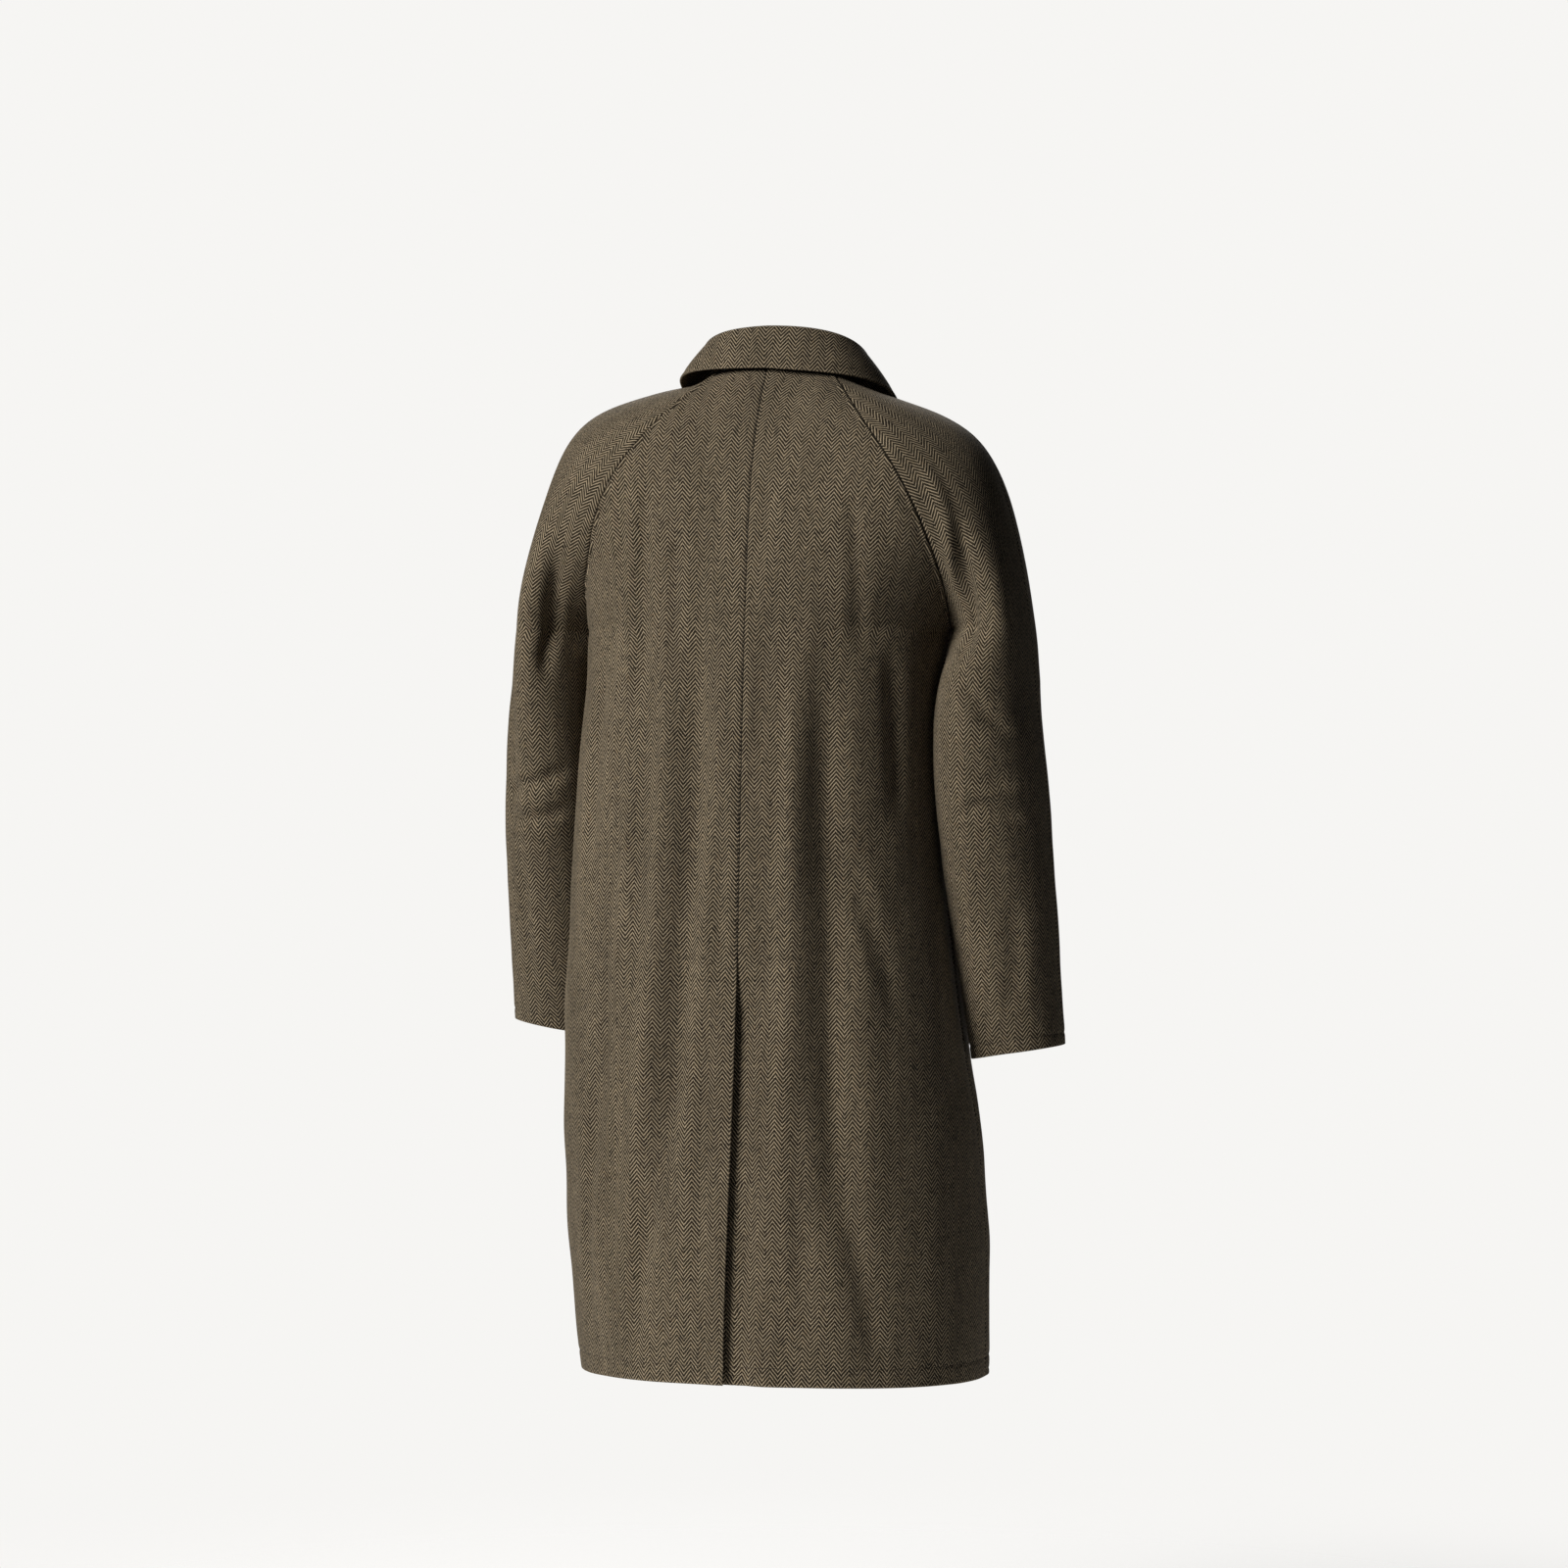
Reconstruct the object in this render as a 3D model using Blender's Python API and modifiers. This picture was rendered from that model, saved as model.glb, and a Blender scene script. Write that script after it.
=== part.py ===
"""Raglan car coat in herringbone tweed, standing hollow as if worn.

Metres, +Z up.  The front faces -Y and the wearer's left is +X.  The origin is at the
neck, at the height of the collar seam at the centre back.  The coat is turned about no
axis: it hangs as it does on a standing figure with both arms down.

Every cloth panel is a grid.  A row of the grid is one cubic curve from seam to seam, and
the rows are named by their drop below the neck.  The tables give, for each drop, where
the seams run and in which direction the cloth leaves them.  Soft folds move the points
along the surface, and the wall is laid inwards from the outer face.
"""
import math

import bmesh
import bpy
import numpy as np
from mathutils import Vector
from mathutils.kdtree import KDTree

# Cloth and seams
CLOTH_WALL = 0.0025
COLLAR_WALL = 0.0030
SEAM_HALF_GAP = 0.00015
LAP_CLEARANCE = 0.0005
NECK_SEAM_GAP = 0.0008
COLLAR_END = 0.004
SAME_POINT = 0.00001
SHARP_VALLEY = 0.2
LEAF_STEP = 0.0028
LEAF_GAP = 0.0004

# Main sizes
UNDERARM_DROP = 0.285
ARMHOLE_DROP = 0.190
VENT_DROP = 0.642
HEM_DROP = 1.086
CUFF_DROP = 0.742
FRONT_LAP = 0.025
LAP_EASE = 0.030
VENT_LAP = 0.045
VENT_SLANT = 0.013
VENT_SPREAD = 0.010
YOKE_WIDTH = 0.150

# Buttons
BUTTON_DROPS = (0.190, 0.335, 0.480, 0.625)
BUTTON_RADIUS = 0.0125
BUTTON_THICKNESS = 0.0042
BUTTON_RIM = 0.0026
BUTTON_ROUND = 0.0011
BUTTON_DISH = 0.0009
BUTTON_CLEARANCE = 0.0003
BUTTON_SIDES = 24
BUTTON_PROFILE = (
    (0.0, 0.0, 0.0),
    (BUTTON_RADIUS - BUTTON_ROUND, 0.0, 0.0),
    (BUTTON_RADIUS, 0.0, BUTTON_THICKNESS / 2),
    (BUTTON_RADIUS - BUTTON_ROUND, 0.0, BUTTON_THICKNESS),
    (BUTTON_RADIUS - BUTTON_RIM, 0.0, BUTTON_THICKNESS),
    (0.0, 0.0, BUTTON_THICKNESS - BUTTON_DISH),
)

# Rounding of the tables
SAMPLES = 401
SOFTNESS = 0.020

# Number of cells in each grid
YOKE_ROWS = 11
BODY_SKIRT_ROWS = 20
BACK_COLUMNS = 11
FRONT_COLUMNS = 9
SLEEVE_ARM_ROWS = 16
SLEEVE_COLUMNS = 9
VENT_LAP_COLUMNS = 2
COLLAR_HALF_COLUMNS = 13
STAND_ROWS = 2
ROLL_ROWS = 5
FALL_ROWS = 5

# Tables.  Each row starts with the drop below the neck; lengths are in metres.
# The back raglan seam from the neck to the underarm.
BACK_RAGLAN = (
    # drop,   x,      y,       z
    (0.000, 0.062, 0.026, -0.003),
    (0.030, 0.090, 0.066, -0.030),
    (0.057, 0.110, 0.090, -0.057),
    (0.083, 0.132, 0.105, -0.083),
    (0.105, 0.149, 0.111, -0.105),
    (0.134, 0.166, 0.112, -0.134),
    (0.168, 0.181, 0.106, -0.168),
    (0.205, 0.192, 0.090, -0.205),
    (0.245, 0.198, 0.056, -0.245),
    (0.285, 0.190, 0.000, -0.285),
)
# The side seam from the underarm to the hem.
SIDE_SEAM = (
    # drop,   x,      y,       z
    (0.285, 0.190, 0.000, -0.285),
    (0.320, 0.1865, 0.000, -0.320),
    (0.380, 0.1865, 0.000, -0.380),
    (0.450, 0.1870, 0.000, -0.450),
    (0.550, 0.191, 0.000, -0.550),
    (0.700, 0.201, -0.002, -0.700),
    (0.745, 0.206, -0.002, -0.745),
    (0.820, 0.219, -0.002, -0.820),
    (0.940, 0.226, 0.000, -0.940),
    (1.086, 0.222, 0.000, -1.086),
)
# The front raglan seam; below the underarm it shares the side seam.
FRONT_EDGE = (
    # drop,   x,      y,       z
    (0.000, 0.058, -0.068, -0.046),
    (0.057, 0.084, -0.094, -0.090),
    (0.105, 0.112, -0.112, -0.130),
    (0.134, 0.132, -0.116, -0.160),
    (0.168, 0.152, -0.112, -0.192),
    (0.205, 0.170, -0.095, -0.226),
    (0.245, 0.184, -0.058, -0.260),
    (0.285, 0.190, 0.000, -0.285),
)
# The centre-back line, and how the cloth arrives at the seam beside it.
BACK_ROWS = (
    # drop,  cb_y,    cb_z,   out,   back,  pull_cb, pull_seam
    (0.000, 0.052, 0.000, 0.60, -0.80, 0.36, 0.30),
    (0.030, 0.076, -0.030, 0.90, -0.42, 0.36, 0.30),
    (0.057, 0.092, -0.057, 0.97, -0.20, 0.36, 0.32),
    (0.083, 0.104, -0.083, 0.98, -0.16, 0.36, 0.34),
    (0.105, 0.112, -0.105, 0.97, -0.22, 0.36, 0.34),
    (0.134, 0.121, -0.134, 0.94, -0.32, 0.37, 0.34),
    (0.168, 0.127, -0.168, 0.88, -0.46, 0.38, 0.34),
    (0.205, 0.132, -0.205, 0.78, -0.62, 0.40, 0.34),
    (0.245, 0.137, -0.245, 0.55, -0.83, 0.42, 0.36),
    (0.285, 0.141, -0.285, 0.15, -0.99, 0.44, 0.38),
    (0.350, 0.147, -0.350, 0.00, -1.00, 0.44, 0.38),
    (0.450, 0.155, -0.450, -0.14, -0.99, 0.44, 0.38),
    (0.570, 0.163, -0.570, -0.20, -0.98, 0.44, 0.38),
    (0.700, 0.171, -0.700, -0.16, -0.99, 0.44, 0.38),
    (0.850, 0.177, -0.850, 0.00, -1.00, 0.43, 0.37),
    (1.086, 0.185, -1.080, 0.00, -1.00, 0.43, 0.37),
)
# The centre-front line, and how the cloth leaves the seam beside it.
FRONT_ROWS = (
    # drop,  cf_y,    cf_z,   out,   back,  pull_seam, pull_cf
    (0.000, -0.095, -0.090, -0.75, -0.60, 0.30, 0.36),
    (0.057, -0.106, -0.122, -0.90, -0.40, 0.32, 0.36),
    (0.105, -0.118, -0.150, -0.97, -0.20, 0.32, 0.36),
    (0.134, -0.125, -0.172, -0.94, -0.32, 0.34, 0.36),
    (0.168, -0.131, -0.198, -0.85, -0.50, 0.34, 0.37),
    (0.205, -0.136, -0.226, -0.70, -0.70, 0.34, 0.39),
    (0.245, -0.140, -0.258, -0.40, -0.90, 0.36, 0.41),
    (0.285, -0.143, -0.287, -0.10, -0.99, 0.38, 0.44),
    (0.350, -0.147, -0.350, 0.00, -1.00, 0.38, 0.44),
    (0.450, -0.149, -0.450, 0.06, -1.00, 0.38, 0.44),
    (0.570, -0.151, -0.570, 0.10, -0.99, 0.38, 0.44),
    (0.700, -0.155, -0.700, 0.08, -1.00, 0.38, 0.44),
    (0.850, -0.160, -0.850, 0.00, -1.00, 0.37, 0.43),
    (1.086, -0.166, -1.086, 0.00, -1.00, 0.37, 0.43),
)
# The line over the shoulder and down the outside of the arm.
OVERARM = (
    # drop,   x,      y,       z
    (0.000, 0.079, -0.020, -0.016),
    (0.030, 0.108, -0.018, -0.026),
    (0.057, 0.140, -0.015, -0.034),
    (0.083, 0.170, -0.012, -0.042),
    (0.105, 0.194, -0.010, -0.050),
    (0.134, 0.221, -0.006, -0.066),
    (0.168, 0.245, -0.003, -0.096),
    (0.205, 0.264, 0.000, -0.147),
    (0.245, 0.279, 0.000, -0.214),
    (0.285, 0.291, 0.000, -0.290),
    (0.350, 0.299, -0.001, -0.350),
    (0.450, 0.305, -0.006, -0.450),
    (0.550, 0.307, -0.014, -0.545),
    (0.650, 0.308, -0.024, -0.640),
    (0.742, 0.308, -0.035, -0.722),
)
# The line under the arm, from the underarm point to the cuff.
UNDERARM = (
    # drop,   x,      y,       z
    (0.285, 0.190, 0.000, -0.285),
    (0.320, 0.1935, 0.000, -0.320),
    (0.380, 0.1950, -0.003, -0.380),
    (0.450, 0.1965, -0.006, -0.450),
    (0.550, 0.200, -0.014, -0.550),
    (0.650, 0.206, -0.025, -0.650),
    (0.742, 0.211, -0.036, -0.738),
)
# How the back half of the sleeve leaves the raglan seam and reaches the overarm line.
SLEEVE_BACK_ROWS = (
    # drop,  out,   back,   up,  pull_seam, pull_over
    (0.000, 0.50, -0.84, -0.20, 0.016, 0.016),
    (0.030, 0.55, -0.60, 0.30, 0.022, 0.030),
    (0.057, 0.62, -0.34, 0.60, 0.026, 0.042),
    (0.083, 0.66, -0.20, 0.70, 0.030, 0.050),
    (0.105, 0.75, -0.15, 0.62, 0.034, 0.056),
    (0.134, 0.86, -0.10, 0.48, 0.040, 0.062),
    (0.168, 0.93, 0.00, 0.33, 0.046, 0.070),
    (0.205, 0.94, 0.26, 0.18, 0.052, 0.084),
    (0.245, 0.78, 0.60, 0.08, 0.064, 0.098),
    (0.285, 0.48, 0.88, 0.00, 0.100, 0.118),
    (0.330, 0.16, 0.99, 0.00, 0.112, 0.116),
    (0.450, 0.00, 1.00, 0.00, 0.102, 0.102),
    (0.600, 0.00, 1.00, 0.00, 0.084, 0.084),
    (0.742, 0.00, 1.00, 0.00, 0.074, 0.074),
)
# The same for the front half, which runs from the overarm line to the front raglan seam.
SLEEVE_FRONT_ROWS = (
    # drop,  out,   back,   up,  pull_seam, pull_over
    (0.000, 0.55, 0.80, 0.40, 0.018, 0.020),
    (0.057, 0.66, 0.20, 0.70, 0.030, 0.040),
    (0.105, 0.78, 0.08, 0.60, 0.040, 0.052),
    (0.134, 0.86, 0.02, 0.48, 0.044, 0.060),
    (0.168, 0.92, -0.10, 0.36, 0.048, 0.068),
    (0.205, 0.90, -0.34, 0.22, 0.052, 0.080),
    (0.245, 0.74, -0.64, 0.10, 0.062, 0.094),
    (0.285, 0.48, -0.88, 0.00, 0.084, 0.106),
    (0.330, 0.14, -0.99, 0.00, 0.100, 0.106),
    (0.450, 0.00, -1.00, 0.00, 0.096, 0.096),
    (0.600, 0.00, -1.00, 0.00, 0.084, 0.084),
    (0.742, 0.00, -1.00, 0.00, 0.074, 0.074),
)
# How far each arm hangs out of the mean line, further forward, and its cuff lower.
ARM_POSE = {
    # side: drop, out, forward, down
    1: ((0.000, 0.000, 0.000, 0.000), (0.030, 0.000, 0.000, -0.010),
        (0.057, 0.000, 0.000, -0.013), (0.105, 0.000, 0.000, -0.013),
        (0.134, 0.003, 0.000, -0.015), (0.168, 0.001, 0.000, -0.011),
        (0.205, -0.002, 0.000, -0.003), (0.285, -0.001, 0.000, 0.000),
        (0.350, 0.002, 0.002, 0.000), (0.430, 0.008, 0.005, 0.000),
        (0.500, 0.011, 0.008, 0.000), (0.742, 0.014, 0.024, -0.010)),
    -1: ((0.000, 0.000, 0.000, 0.000), (0.057, -0.001, 0.000, 0.003),
         (0.083, -0.003, 0.000, 0.005), (0.105, -0.005, 0.000, 0.008),
         (0.140, -0.006, 0.000, 0.010), (0.180, -0.009, 0.000, 0.004),
         (0.285, -0.012, 0.000, 0.000), (0.366, -0.0155, 0.000, 0.000),
         (0.430, -0.012, 0.000, 0.002), (0.500, -0.010, 0.000, 0.004),
         (0.742, -0.001, -0.004, 0.009)),
}
# The same for the inner line of each sleeve, and how far the back half leans in behind
# the body from there.
ARM_INNER = {
    # side: drop, out, forward, down, lean
    1: ((0.285, 0.018, 0.000, 0.000, 0.00), (0.340, 0.016, 0.001, 0.000, 0.00),
        (0.400, 0.013, 0.003, 0.000, 0.00), (0.500, 0.013, 0.008, 0.000, 0.00),
        (0.742, 0.014, 0.024, -0.010, 0.00)),
    -1: ((0.285, 0.000, 0.000, 0.000, 0.00), (0.340, -0.014, -0.004, 0.000, 0.10),
         (0.400, -0.0185, -0.009, 0.000, 0.15), (0.500, -0.0165, -0.009, 0.004, 0.14),
         (0.620, -0.0100, -0.008, 0.006, 0.10), (0.742, -0.0020, -0.006, 0.009, 0.06)),
}
# How far each side seam hangs out of the mean line, and how full the back is beside it.
SIDE_POSE = {
    # side: drop, out, full
    1: ((0.285, 0.018, 0.030), (0.340, 0.013, 0.036), (0.400, 0.010, 0.048),
        (0.550, 0.011, 0.046), (0.700, 0.012, 0.042), (0.820, 0.007, 0.032),
        (0.940, 0.003, 0.016), (1.086, -0.003, 0.000)),
    -1: ((0.285, 0.000, 0.000), (0.340, -0.008, 0.000), (0.400, -0.012, -0.006),
         (0.500, -0.011, -0.006), (0.620, -0.006, 0.000), (0.720, -0.001, 0.004),
         (0.820, 0.000, 0.008), (0.940, 0.003, 0.002), (1.086, 0.006, 0.000)),
}
# The collar lines from the centre back to the front end, each one cubic curve.
COLLAR_LINES = {
    # name: start, first handle, second handle, end
    "stand_top": ((0.000, 0.0475, 0.032), (0.109, 0.0475, 0.030),
                  (0.109, -0.096, 0.004), (0.004, -0.0965, -0.0655)),
    "leaf_edge": ((0.000, 0.067, -0.005), (0.150, 0.074, -0.010),
                  (0.154, -0.100, 0.001), (0.050, -0.136, -0.128)),
}
LEAF_TILT = 0.050
LEAF_RISE = 0.003
ROLL_RADIUS = 0.0065
ROLL_END = 0.35
LEAF_BOW = 0.002

# Soft folds on the back: a trough is negative.  Each path is given by drop and x.
BACK_FOLDS = (
    # height, width, (drop, x) from top to bottom
    (-0.0035, 0.011, ((0.120, 0.112), (0.240, 0.118), (0.350, 0.116))),
    (-0.0070, 0.013, ((0.190, 0.052), (0.500, 0.050), (0.620, 0.062),
                      (0.800, 0.074), (0.980, 0.102))),
    (0.0040, 0.014, ((0.200, 0.084), (0.500, 0.086), (0.800, 0.112), (1.000, 0.140))),
    (-0.0070, 0.014, ((0.280, -0.080), (0.500, -0.086), (0.600, -0.093),
                      (0.850, -0.096), (1.000, -0.125))),
    (0.0040, 0.015, ((0.300, -0.048), (0.600, -0.055), (0.900, -0.058))),
    (-0.0050, 0.012, ((0.540, -0.112), (0.610, -0.140), (0.690, -0.168))),
    (-0.0040, 0.012, ((0.300, -0.160), (0.400, -0.168), (0.480, -0.172))),
)

FOLD_FADE = 0.020
FOLD_FADE_SHARE = 0.3

WEAVE_COLOUR = (0.085, 0.066, 0.045, 1.0)
COLLAR_COLOUR = (0.080, 0.062, 0.042, 1.0)
BUTTON_COLOUR = (0.045, 0.024, 0.012, 1.0)
CLOTH_ROUGHNESS = 0.92
BUTTON_ROUGHNESS = 0.35


def smooth(table, drops):
    """Values of a table at the given drops: straight runs, rounded over SOFTNESS."""
    rows = np.array(table, float)
    fine = np.linspace(rows[0, 0], rows[-1, 0], SAMPLES)
    values = np.column_stack([np.interp(fine, rows[:, 0], line) for line in rows[:, 1:].T])
    reach = int(min(3 * SOFTNESS / (fine[1] - fine[0]), SAMPLES // 2))
    before = 2 * values[0] - values[reach:0:-1]
    after = 2 * values[-1] - values[-2:-reach - 2:-1]
    padded = np.concatenate([before, values, after])
    offsets = np.arange(-reach, reach + 1) * (fine[1] - fine[0])
    kernel = np.exp(-0.5 * (offsets / SOFTNESS) ** 2)
    kernel /= kernel.sum()
    soft = [np.convolve(line, kernel, "valid") for line in padded.T]
    return np.column_stack([np.interp(drops, fine, line) for line in soft])


def unit(vectors):
    """The same directions with length one."""
    return vectors / np.linalg.norm(vectors, axis=-1, keepdims=True)


def ramp(value, low, high):
    """0 below low, 1 above high, and a soft step between."""
    t = np.clip((value - low) / (high - low), 0.0, 1.0)
    return t * t * (3 - 2 * t)


def cubic(start, handle_a, handle_b, end, t):
    """Points of cubic curves; one curve for each row, t is one list or one for each row."""
    t = np.atleast_2d(np.asarray(t, float))[..., None]
    return (start[:, None] * (1 - t) ** 3 + 3 * handle_a[:, None] * t * (1 - t) ** 2
            + 3 * handle_b[:, None] * t * t * (1 - t) + end[:, None] * t ** 3)


def row_drops(low_rows, low_end):
    """Drops of the rows: even down to the underarm, then even to the lower edge."""
    yoke = np.linspace(0.0, UNDERARM_DROP, YOKE_ROWS + 1)
    rest = np.linspace(UNDERARM_DROP, low_end, low_rows + 1)
    return np.concatenate([yoke, rest[1:]])


def body_edge(table, side, drops):
    """The outer edge of a body panel: its raglan seam and then the side seam."""
    above = smooth(table, np.minimum(drops, UNDERARM_DROP))
    below = smooth(SIDE_SEAM, np.maximum(drops, UNDERARM_DROP))
    pose = smooth(SIDE_POSE[side], np.maximum(drops, UNDERARM_DROP))
    grown = ramp(drops, ARMHOLE_DROP, UNDERARM_DROP)[:, None] * pose
    edge = np.where(drops[:, None] < UNDERARM_DROP, above, below)
    edge[:, 0] += grown[:, 0]
    return edge, grown[:, 1:2]


def level(directions):
    """Directions in the level plane from their out and back parts."""
    flat = np.zeros((len(directions), 3))
    flat[:, :2] = directions
    return unit(flat)


def back_grid(side, drops, t):
    """A back panel as on the left: rows run from the centre back to the outer seam."""
    rows = smooth(BACK_ROWS, drops)
    edge, full = body_edge(BACK_RAGLAN, side, drops)
    centre = np.column_stack([np.zeros(len(drops)), rows[:, 0], rows[:, 1]])
    chord = np.linalg.norm(edge - centre, axis=1, keepdims=True)
    outward = np.array([[1.0, 0.0, 0.0]])
    handle_a = centre + outward * (chord * rows[:, 4:5] + full * 0.5)
    handle_b = edge - level(rows[:, 2:4]) * chord * rows[:, 5:6] + outward * full
    return cubic(centre, handle_a, handle_b, edge, t)


def front_grid(side, drops, t):
    """A front panel as on the left: rows run from the centre front to the outer seam."""
    rows = smooth(FRONT_ROWS, drops)
    edge = body_edge(FRONT_EDGE, side, drops)[0]
    centre = np.column_stack([np.zeros(len(drops)), rows[:, 0], rows[:, 1]])
    chord = np.linalg.norm(edge - centre, axis=1, keepdims=True)
    outward = np.array([[1.0, 0.0, 0.0]])
    handle_a = centre + outward * chord * rows[:, 5:6]
    handle_b = edge + level(rows[:, 2:4]) * chord * rows[:, 4:5]
    return cubic(centre, handle_a, handle_b, edge, t)


def body_stations(grid, side, drops, widths, columns):
    """Row positions that pass the given widths from the centre, then even to the seam."""
    fine = np.linspace(0.0, 1.0, SAMPLES)
    across = grid(side, drops, fine)[..., 0]
    out = []
    for line in across:
        reach = np.array(widths) * min(1.0, line[-1] / YOKE_WIDTH)
        found = np.interp(reach, line, fine)
        rest = np.linspace(found[-1], 1.0, columns + 1)
        out.append(np.concatenate([found, rest[1:]]))
    return np.array(out)


def sleeve_lines(seam_table, rows_table, side, drops):
    """Seam line, overarm line and directions of one sleeve half, posed for its side."""
    above = smooth(seam_table, np.minimum(drops, UNDERARM_DROP))
    inner = smooth(ARM_INNER[side], np.maximum(drops, UNDERARM_DROP))
    below = smooth(UNDERARM, np.maximum(drops, UNDERARM_DROP))
    below = below + inner[:, :3] * np.array([1.0, -1.0, -1.0])
    seam = np.where(drops[:, None] < UNDERARM_DROP, above, below)
    grown = ramp(drops, ARMHOLE_DROP, UNDERARM_DROP) * (drops < UNDERARM_DROP)
    seam[:, 0] += grown * SIDE_POSE[side][0][1]
    over = smooth(OVERARM, drops) + smooth(ARM_POSE[side], drops) * np.array([1.0, -1.0, -1.0])
    rows = smooth(rows_table, drops)
    return seam, over, unit(rows[:, :3]), rows[:, 3:4], rows[:, 4:5], inner[:, 3:4]


def sleeve_back_grid(side, drops, t):
    """Back half of a sleeve: rows run from the raglan or underarm seam to the overarm."""
    seam, over, leave, pull_seam, pull_over, lean = sleeve_lines(
        BACK_RAGLAN, SLEEVE_BACK_ROWS, side, drops)
    forward = np.array([[0.0, -1.0, 0.0]])
    leave = leave - np.array([[1.0, 0.0, 0.0]]) * lean
    return cubic(seam, seam + leave * pull_seam, over - forward * pull_over, over, t)


def sleeve_front_grid(side, drops, t):
    """Front half of a sleeve: rows run from the overarm to the front or underarm seam."""
    seam, over, leave, pull_seam, pull_over, _ = sleeve_lines(
        FRONT_EDGE, SLEEVE_FRONT_ROWS, side, drops)
    forward = np.array([[0.0, -1.0, 0.0]])
    return cubic(over, over + forward * pull_over, seam + leave * pull_seam, seam, t)


def normals_of(points, side):
    """Outward normals of a grid from its differences down the rows and along them."""
    down = np.gradient(points, axis=0)
    along = np.gradient(points, axis=1)
    return unit(np.cross(along, down) * side)


def fold_height(folds, x, drop):
    """Sum of soft folds: each is a bell across its path, faded at both ends."""
    total = np.zeros(x.shape)
    for height, width, path in folds:
        line = np.interp(drop, [p[0] for p in path], [p[1] for p in path])
        start = path[0][0]
        end = path[-1][0]
        run = (end - start) * FOLD_FADE_SHARE
        fade = ramp(drop, start - FOLD_FADE, start + run)
        fade = fade * (1 - ramp(drop, end - run, end + FOLD_FADE))
        total += height * fade * np.exp(-((x - line) / width) ** 2)
    return total


def new_material(name, colour, roughness):
    """A plain Principled material."""
    material = bpy.data.materials.new(name)
    material.use_nodes = True
    shader = material.node_tree.nodes["Principled BSDF"]
    shader.inputs["Base Color"].default_value = colour
    shader.inputs["Roughness"].default_value = roughness
    shader.inputs["Metallic"].default_value = 0.0
    material.diffuse_color = colour
    return material


def seam_normals(panels):
    """Outward normals of all panels, shared where seams meet, so that walls are mitred.

    Panels that meet in a seam have the same points there.  Each set of such points takes
    its mean normal, and every panel is moved back from the seam by half the gap.
    """
    normals = {name: normals_of(grid, facing) for name, (grid, facing, keep) in panels.items()}
    spots = []
    for name, (grid, facing, keep) in panels.items():
        for column, inner in ((0, 1), (-1, -2)):
            for row in range(len(grid)):
                spots.append((name, row, column, inner))
    first = VENT_LAP_COLUMNS
    spots += [("back_right", row, first, first + 1) for row in range(vent_row())]
    tree = KDTree(len(spots))
    for number, (name, row, column, inner) in enumerate(spots):
        tree.insert(panels[name][0][row, column], number)
    tree.balance()
    moved = {}
    for number, (name, row, column, inner) in enumerate(spots):
        met = [spots[found[1]] for found in tree.find_range(
            panels[name][0][row, column], SAME_POINT)]
        if len(met) < 2:
            continue
        ways = np.array([panels[n][0][r, i] - panels[n][0][r, c] for n, r, c, i in met])
        ways = unit(ways)
        own = met.index((name, row, column, inner))
        away = unit(ways[own] - ways.mean(axis=0)) * SEAM_HALF_GAP
        own_normal = normals[name][row, column]
        alike = [normals[n][r, c] for n, r, c, i in met
                 if normals[n][r, c] @ own_normal > SHARP_VALLEY]
        moved[(name, row, column)] = (away, unit(sum(alike)))
    for (name, row, column), (away, mean) in moved.items():
        panels[name][0][row, column] += away
        normals[name][row, column] = mean
    return normals


def cloth(name, points, normals, facing, wall, keep, collection, material):
    """A closed wall of cloth: outer face, inner face and the rim between them.

    The faces are laid by hand because the walls are mitred at the seams, which a
    thickness modifier on one open panel can't do.
    """
    rows, columns = points.shape[:2]
    outer = np.arange(rows * columns).reshape(rows, columns)
    inner = outer + rows * columns
    if keep is None:
        keep = np.ones((rows - 1, columns - 1), bool)
    faces = []

    def strip(a, b, c, d, chosen):
        quads = np.stack([a, b, c, d], axis=-1)[chosen]
        faces.extend(quads.reshape(-1, 4)[:, ::facing].tolist())

    strip(outer[:-1, :-1], outer[:-1, 1:], outer[1:, 1:], outer[1:, :-1], keep)
    strip(inner[:-1, :-1], inner[1:, :-1], inner[1:, 1:], inner[:-1, 1:], keep)
    frame = np.pad(keep, 1)
    middle = frame[1:-1, 1:-1]
    strip(outer[:-1, :-1], inner[:-1, :-1], inner[:-1, 1:], outer[:-1, 1:],
          middle & ~frame[:-2, 1:-1])
    strip(outer[1:, :-1], outer[1:, 1:], inner[1:, 1:], inner[1:, :-1],
          middle & ~frame[2:, 1:-1])
    strip(outer[:-1, :-1], outer[1:, :-1], inner[1:, :-1], inner[:-1, :-1],
          middle & ~frame[1:-1, :-2])
    strip(outer[:-1, 1:], inner[:-1, 1:], inner[1:, 1:], outer[1:, 1:],
          middle & ~frame[1:-1, 2:])
    used = np.unique(np.array(faces))
    place = np.concatenate([points.reshape(-1, 3), (points - normals * wall).reshape(-1, 3)])
    renumber = np.zeros(len(place), int)
    renumber[used] = np.arange(len(used))
    data = bpy.data.meshes.new(name)
    data.from_pydata(place[used].tolist(), [], renumber[np.array(faces)].tolist())
    data.materials.append(material)
    obj = bpy.data.objects.new(name, data)
    collection.objects.link(obj)
    return obj


def mirrored(points, side):
    """The same points on the chosen side of the coat."""
    return points * np.array([side, 1.0, 1.0])


def back_points(side, drops, t):
    """Folded outer face of one back panel; the folds fade out at its outer seam."""
    points = mirrored(back_grid(side, drops, t), side)
    drop = np.broadcast_to(drops[:, None], points.shape[:2])
    across = np.abs(points[..., 0])
    height = fold_height(BACK_FOLDS, points[..., 0], drop)
    height *= ramp(across[:, -1:] - across, 0.0, FOLD_FADE) * (t > 0)
    return points + normals_of(points, side) * height[..., None]


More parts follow.
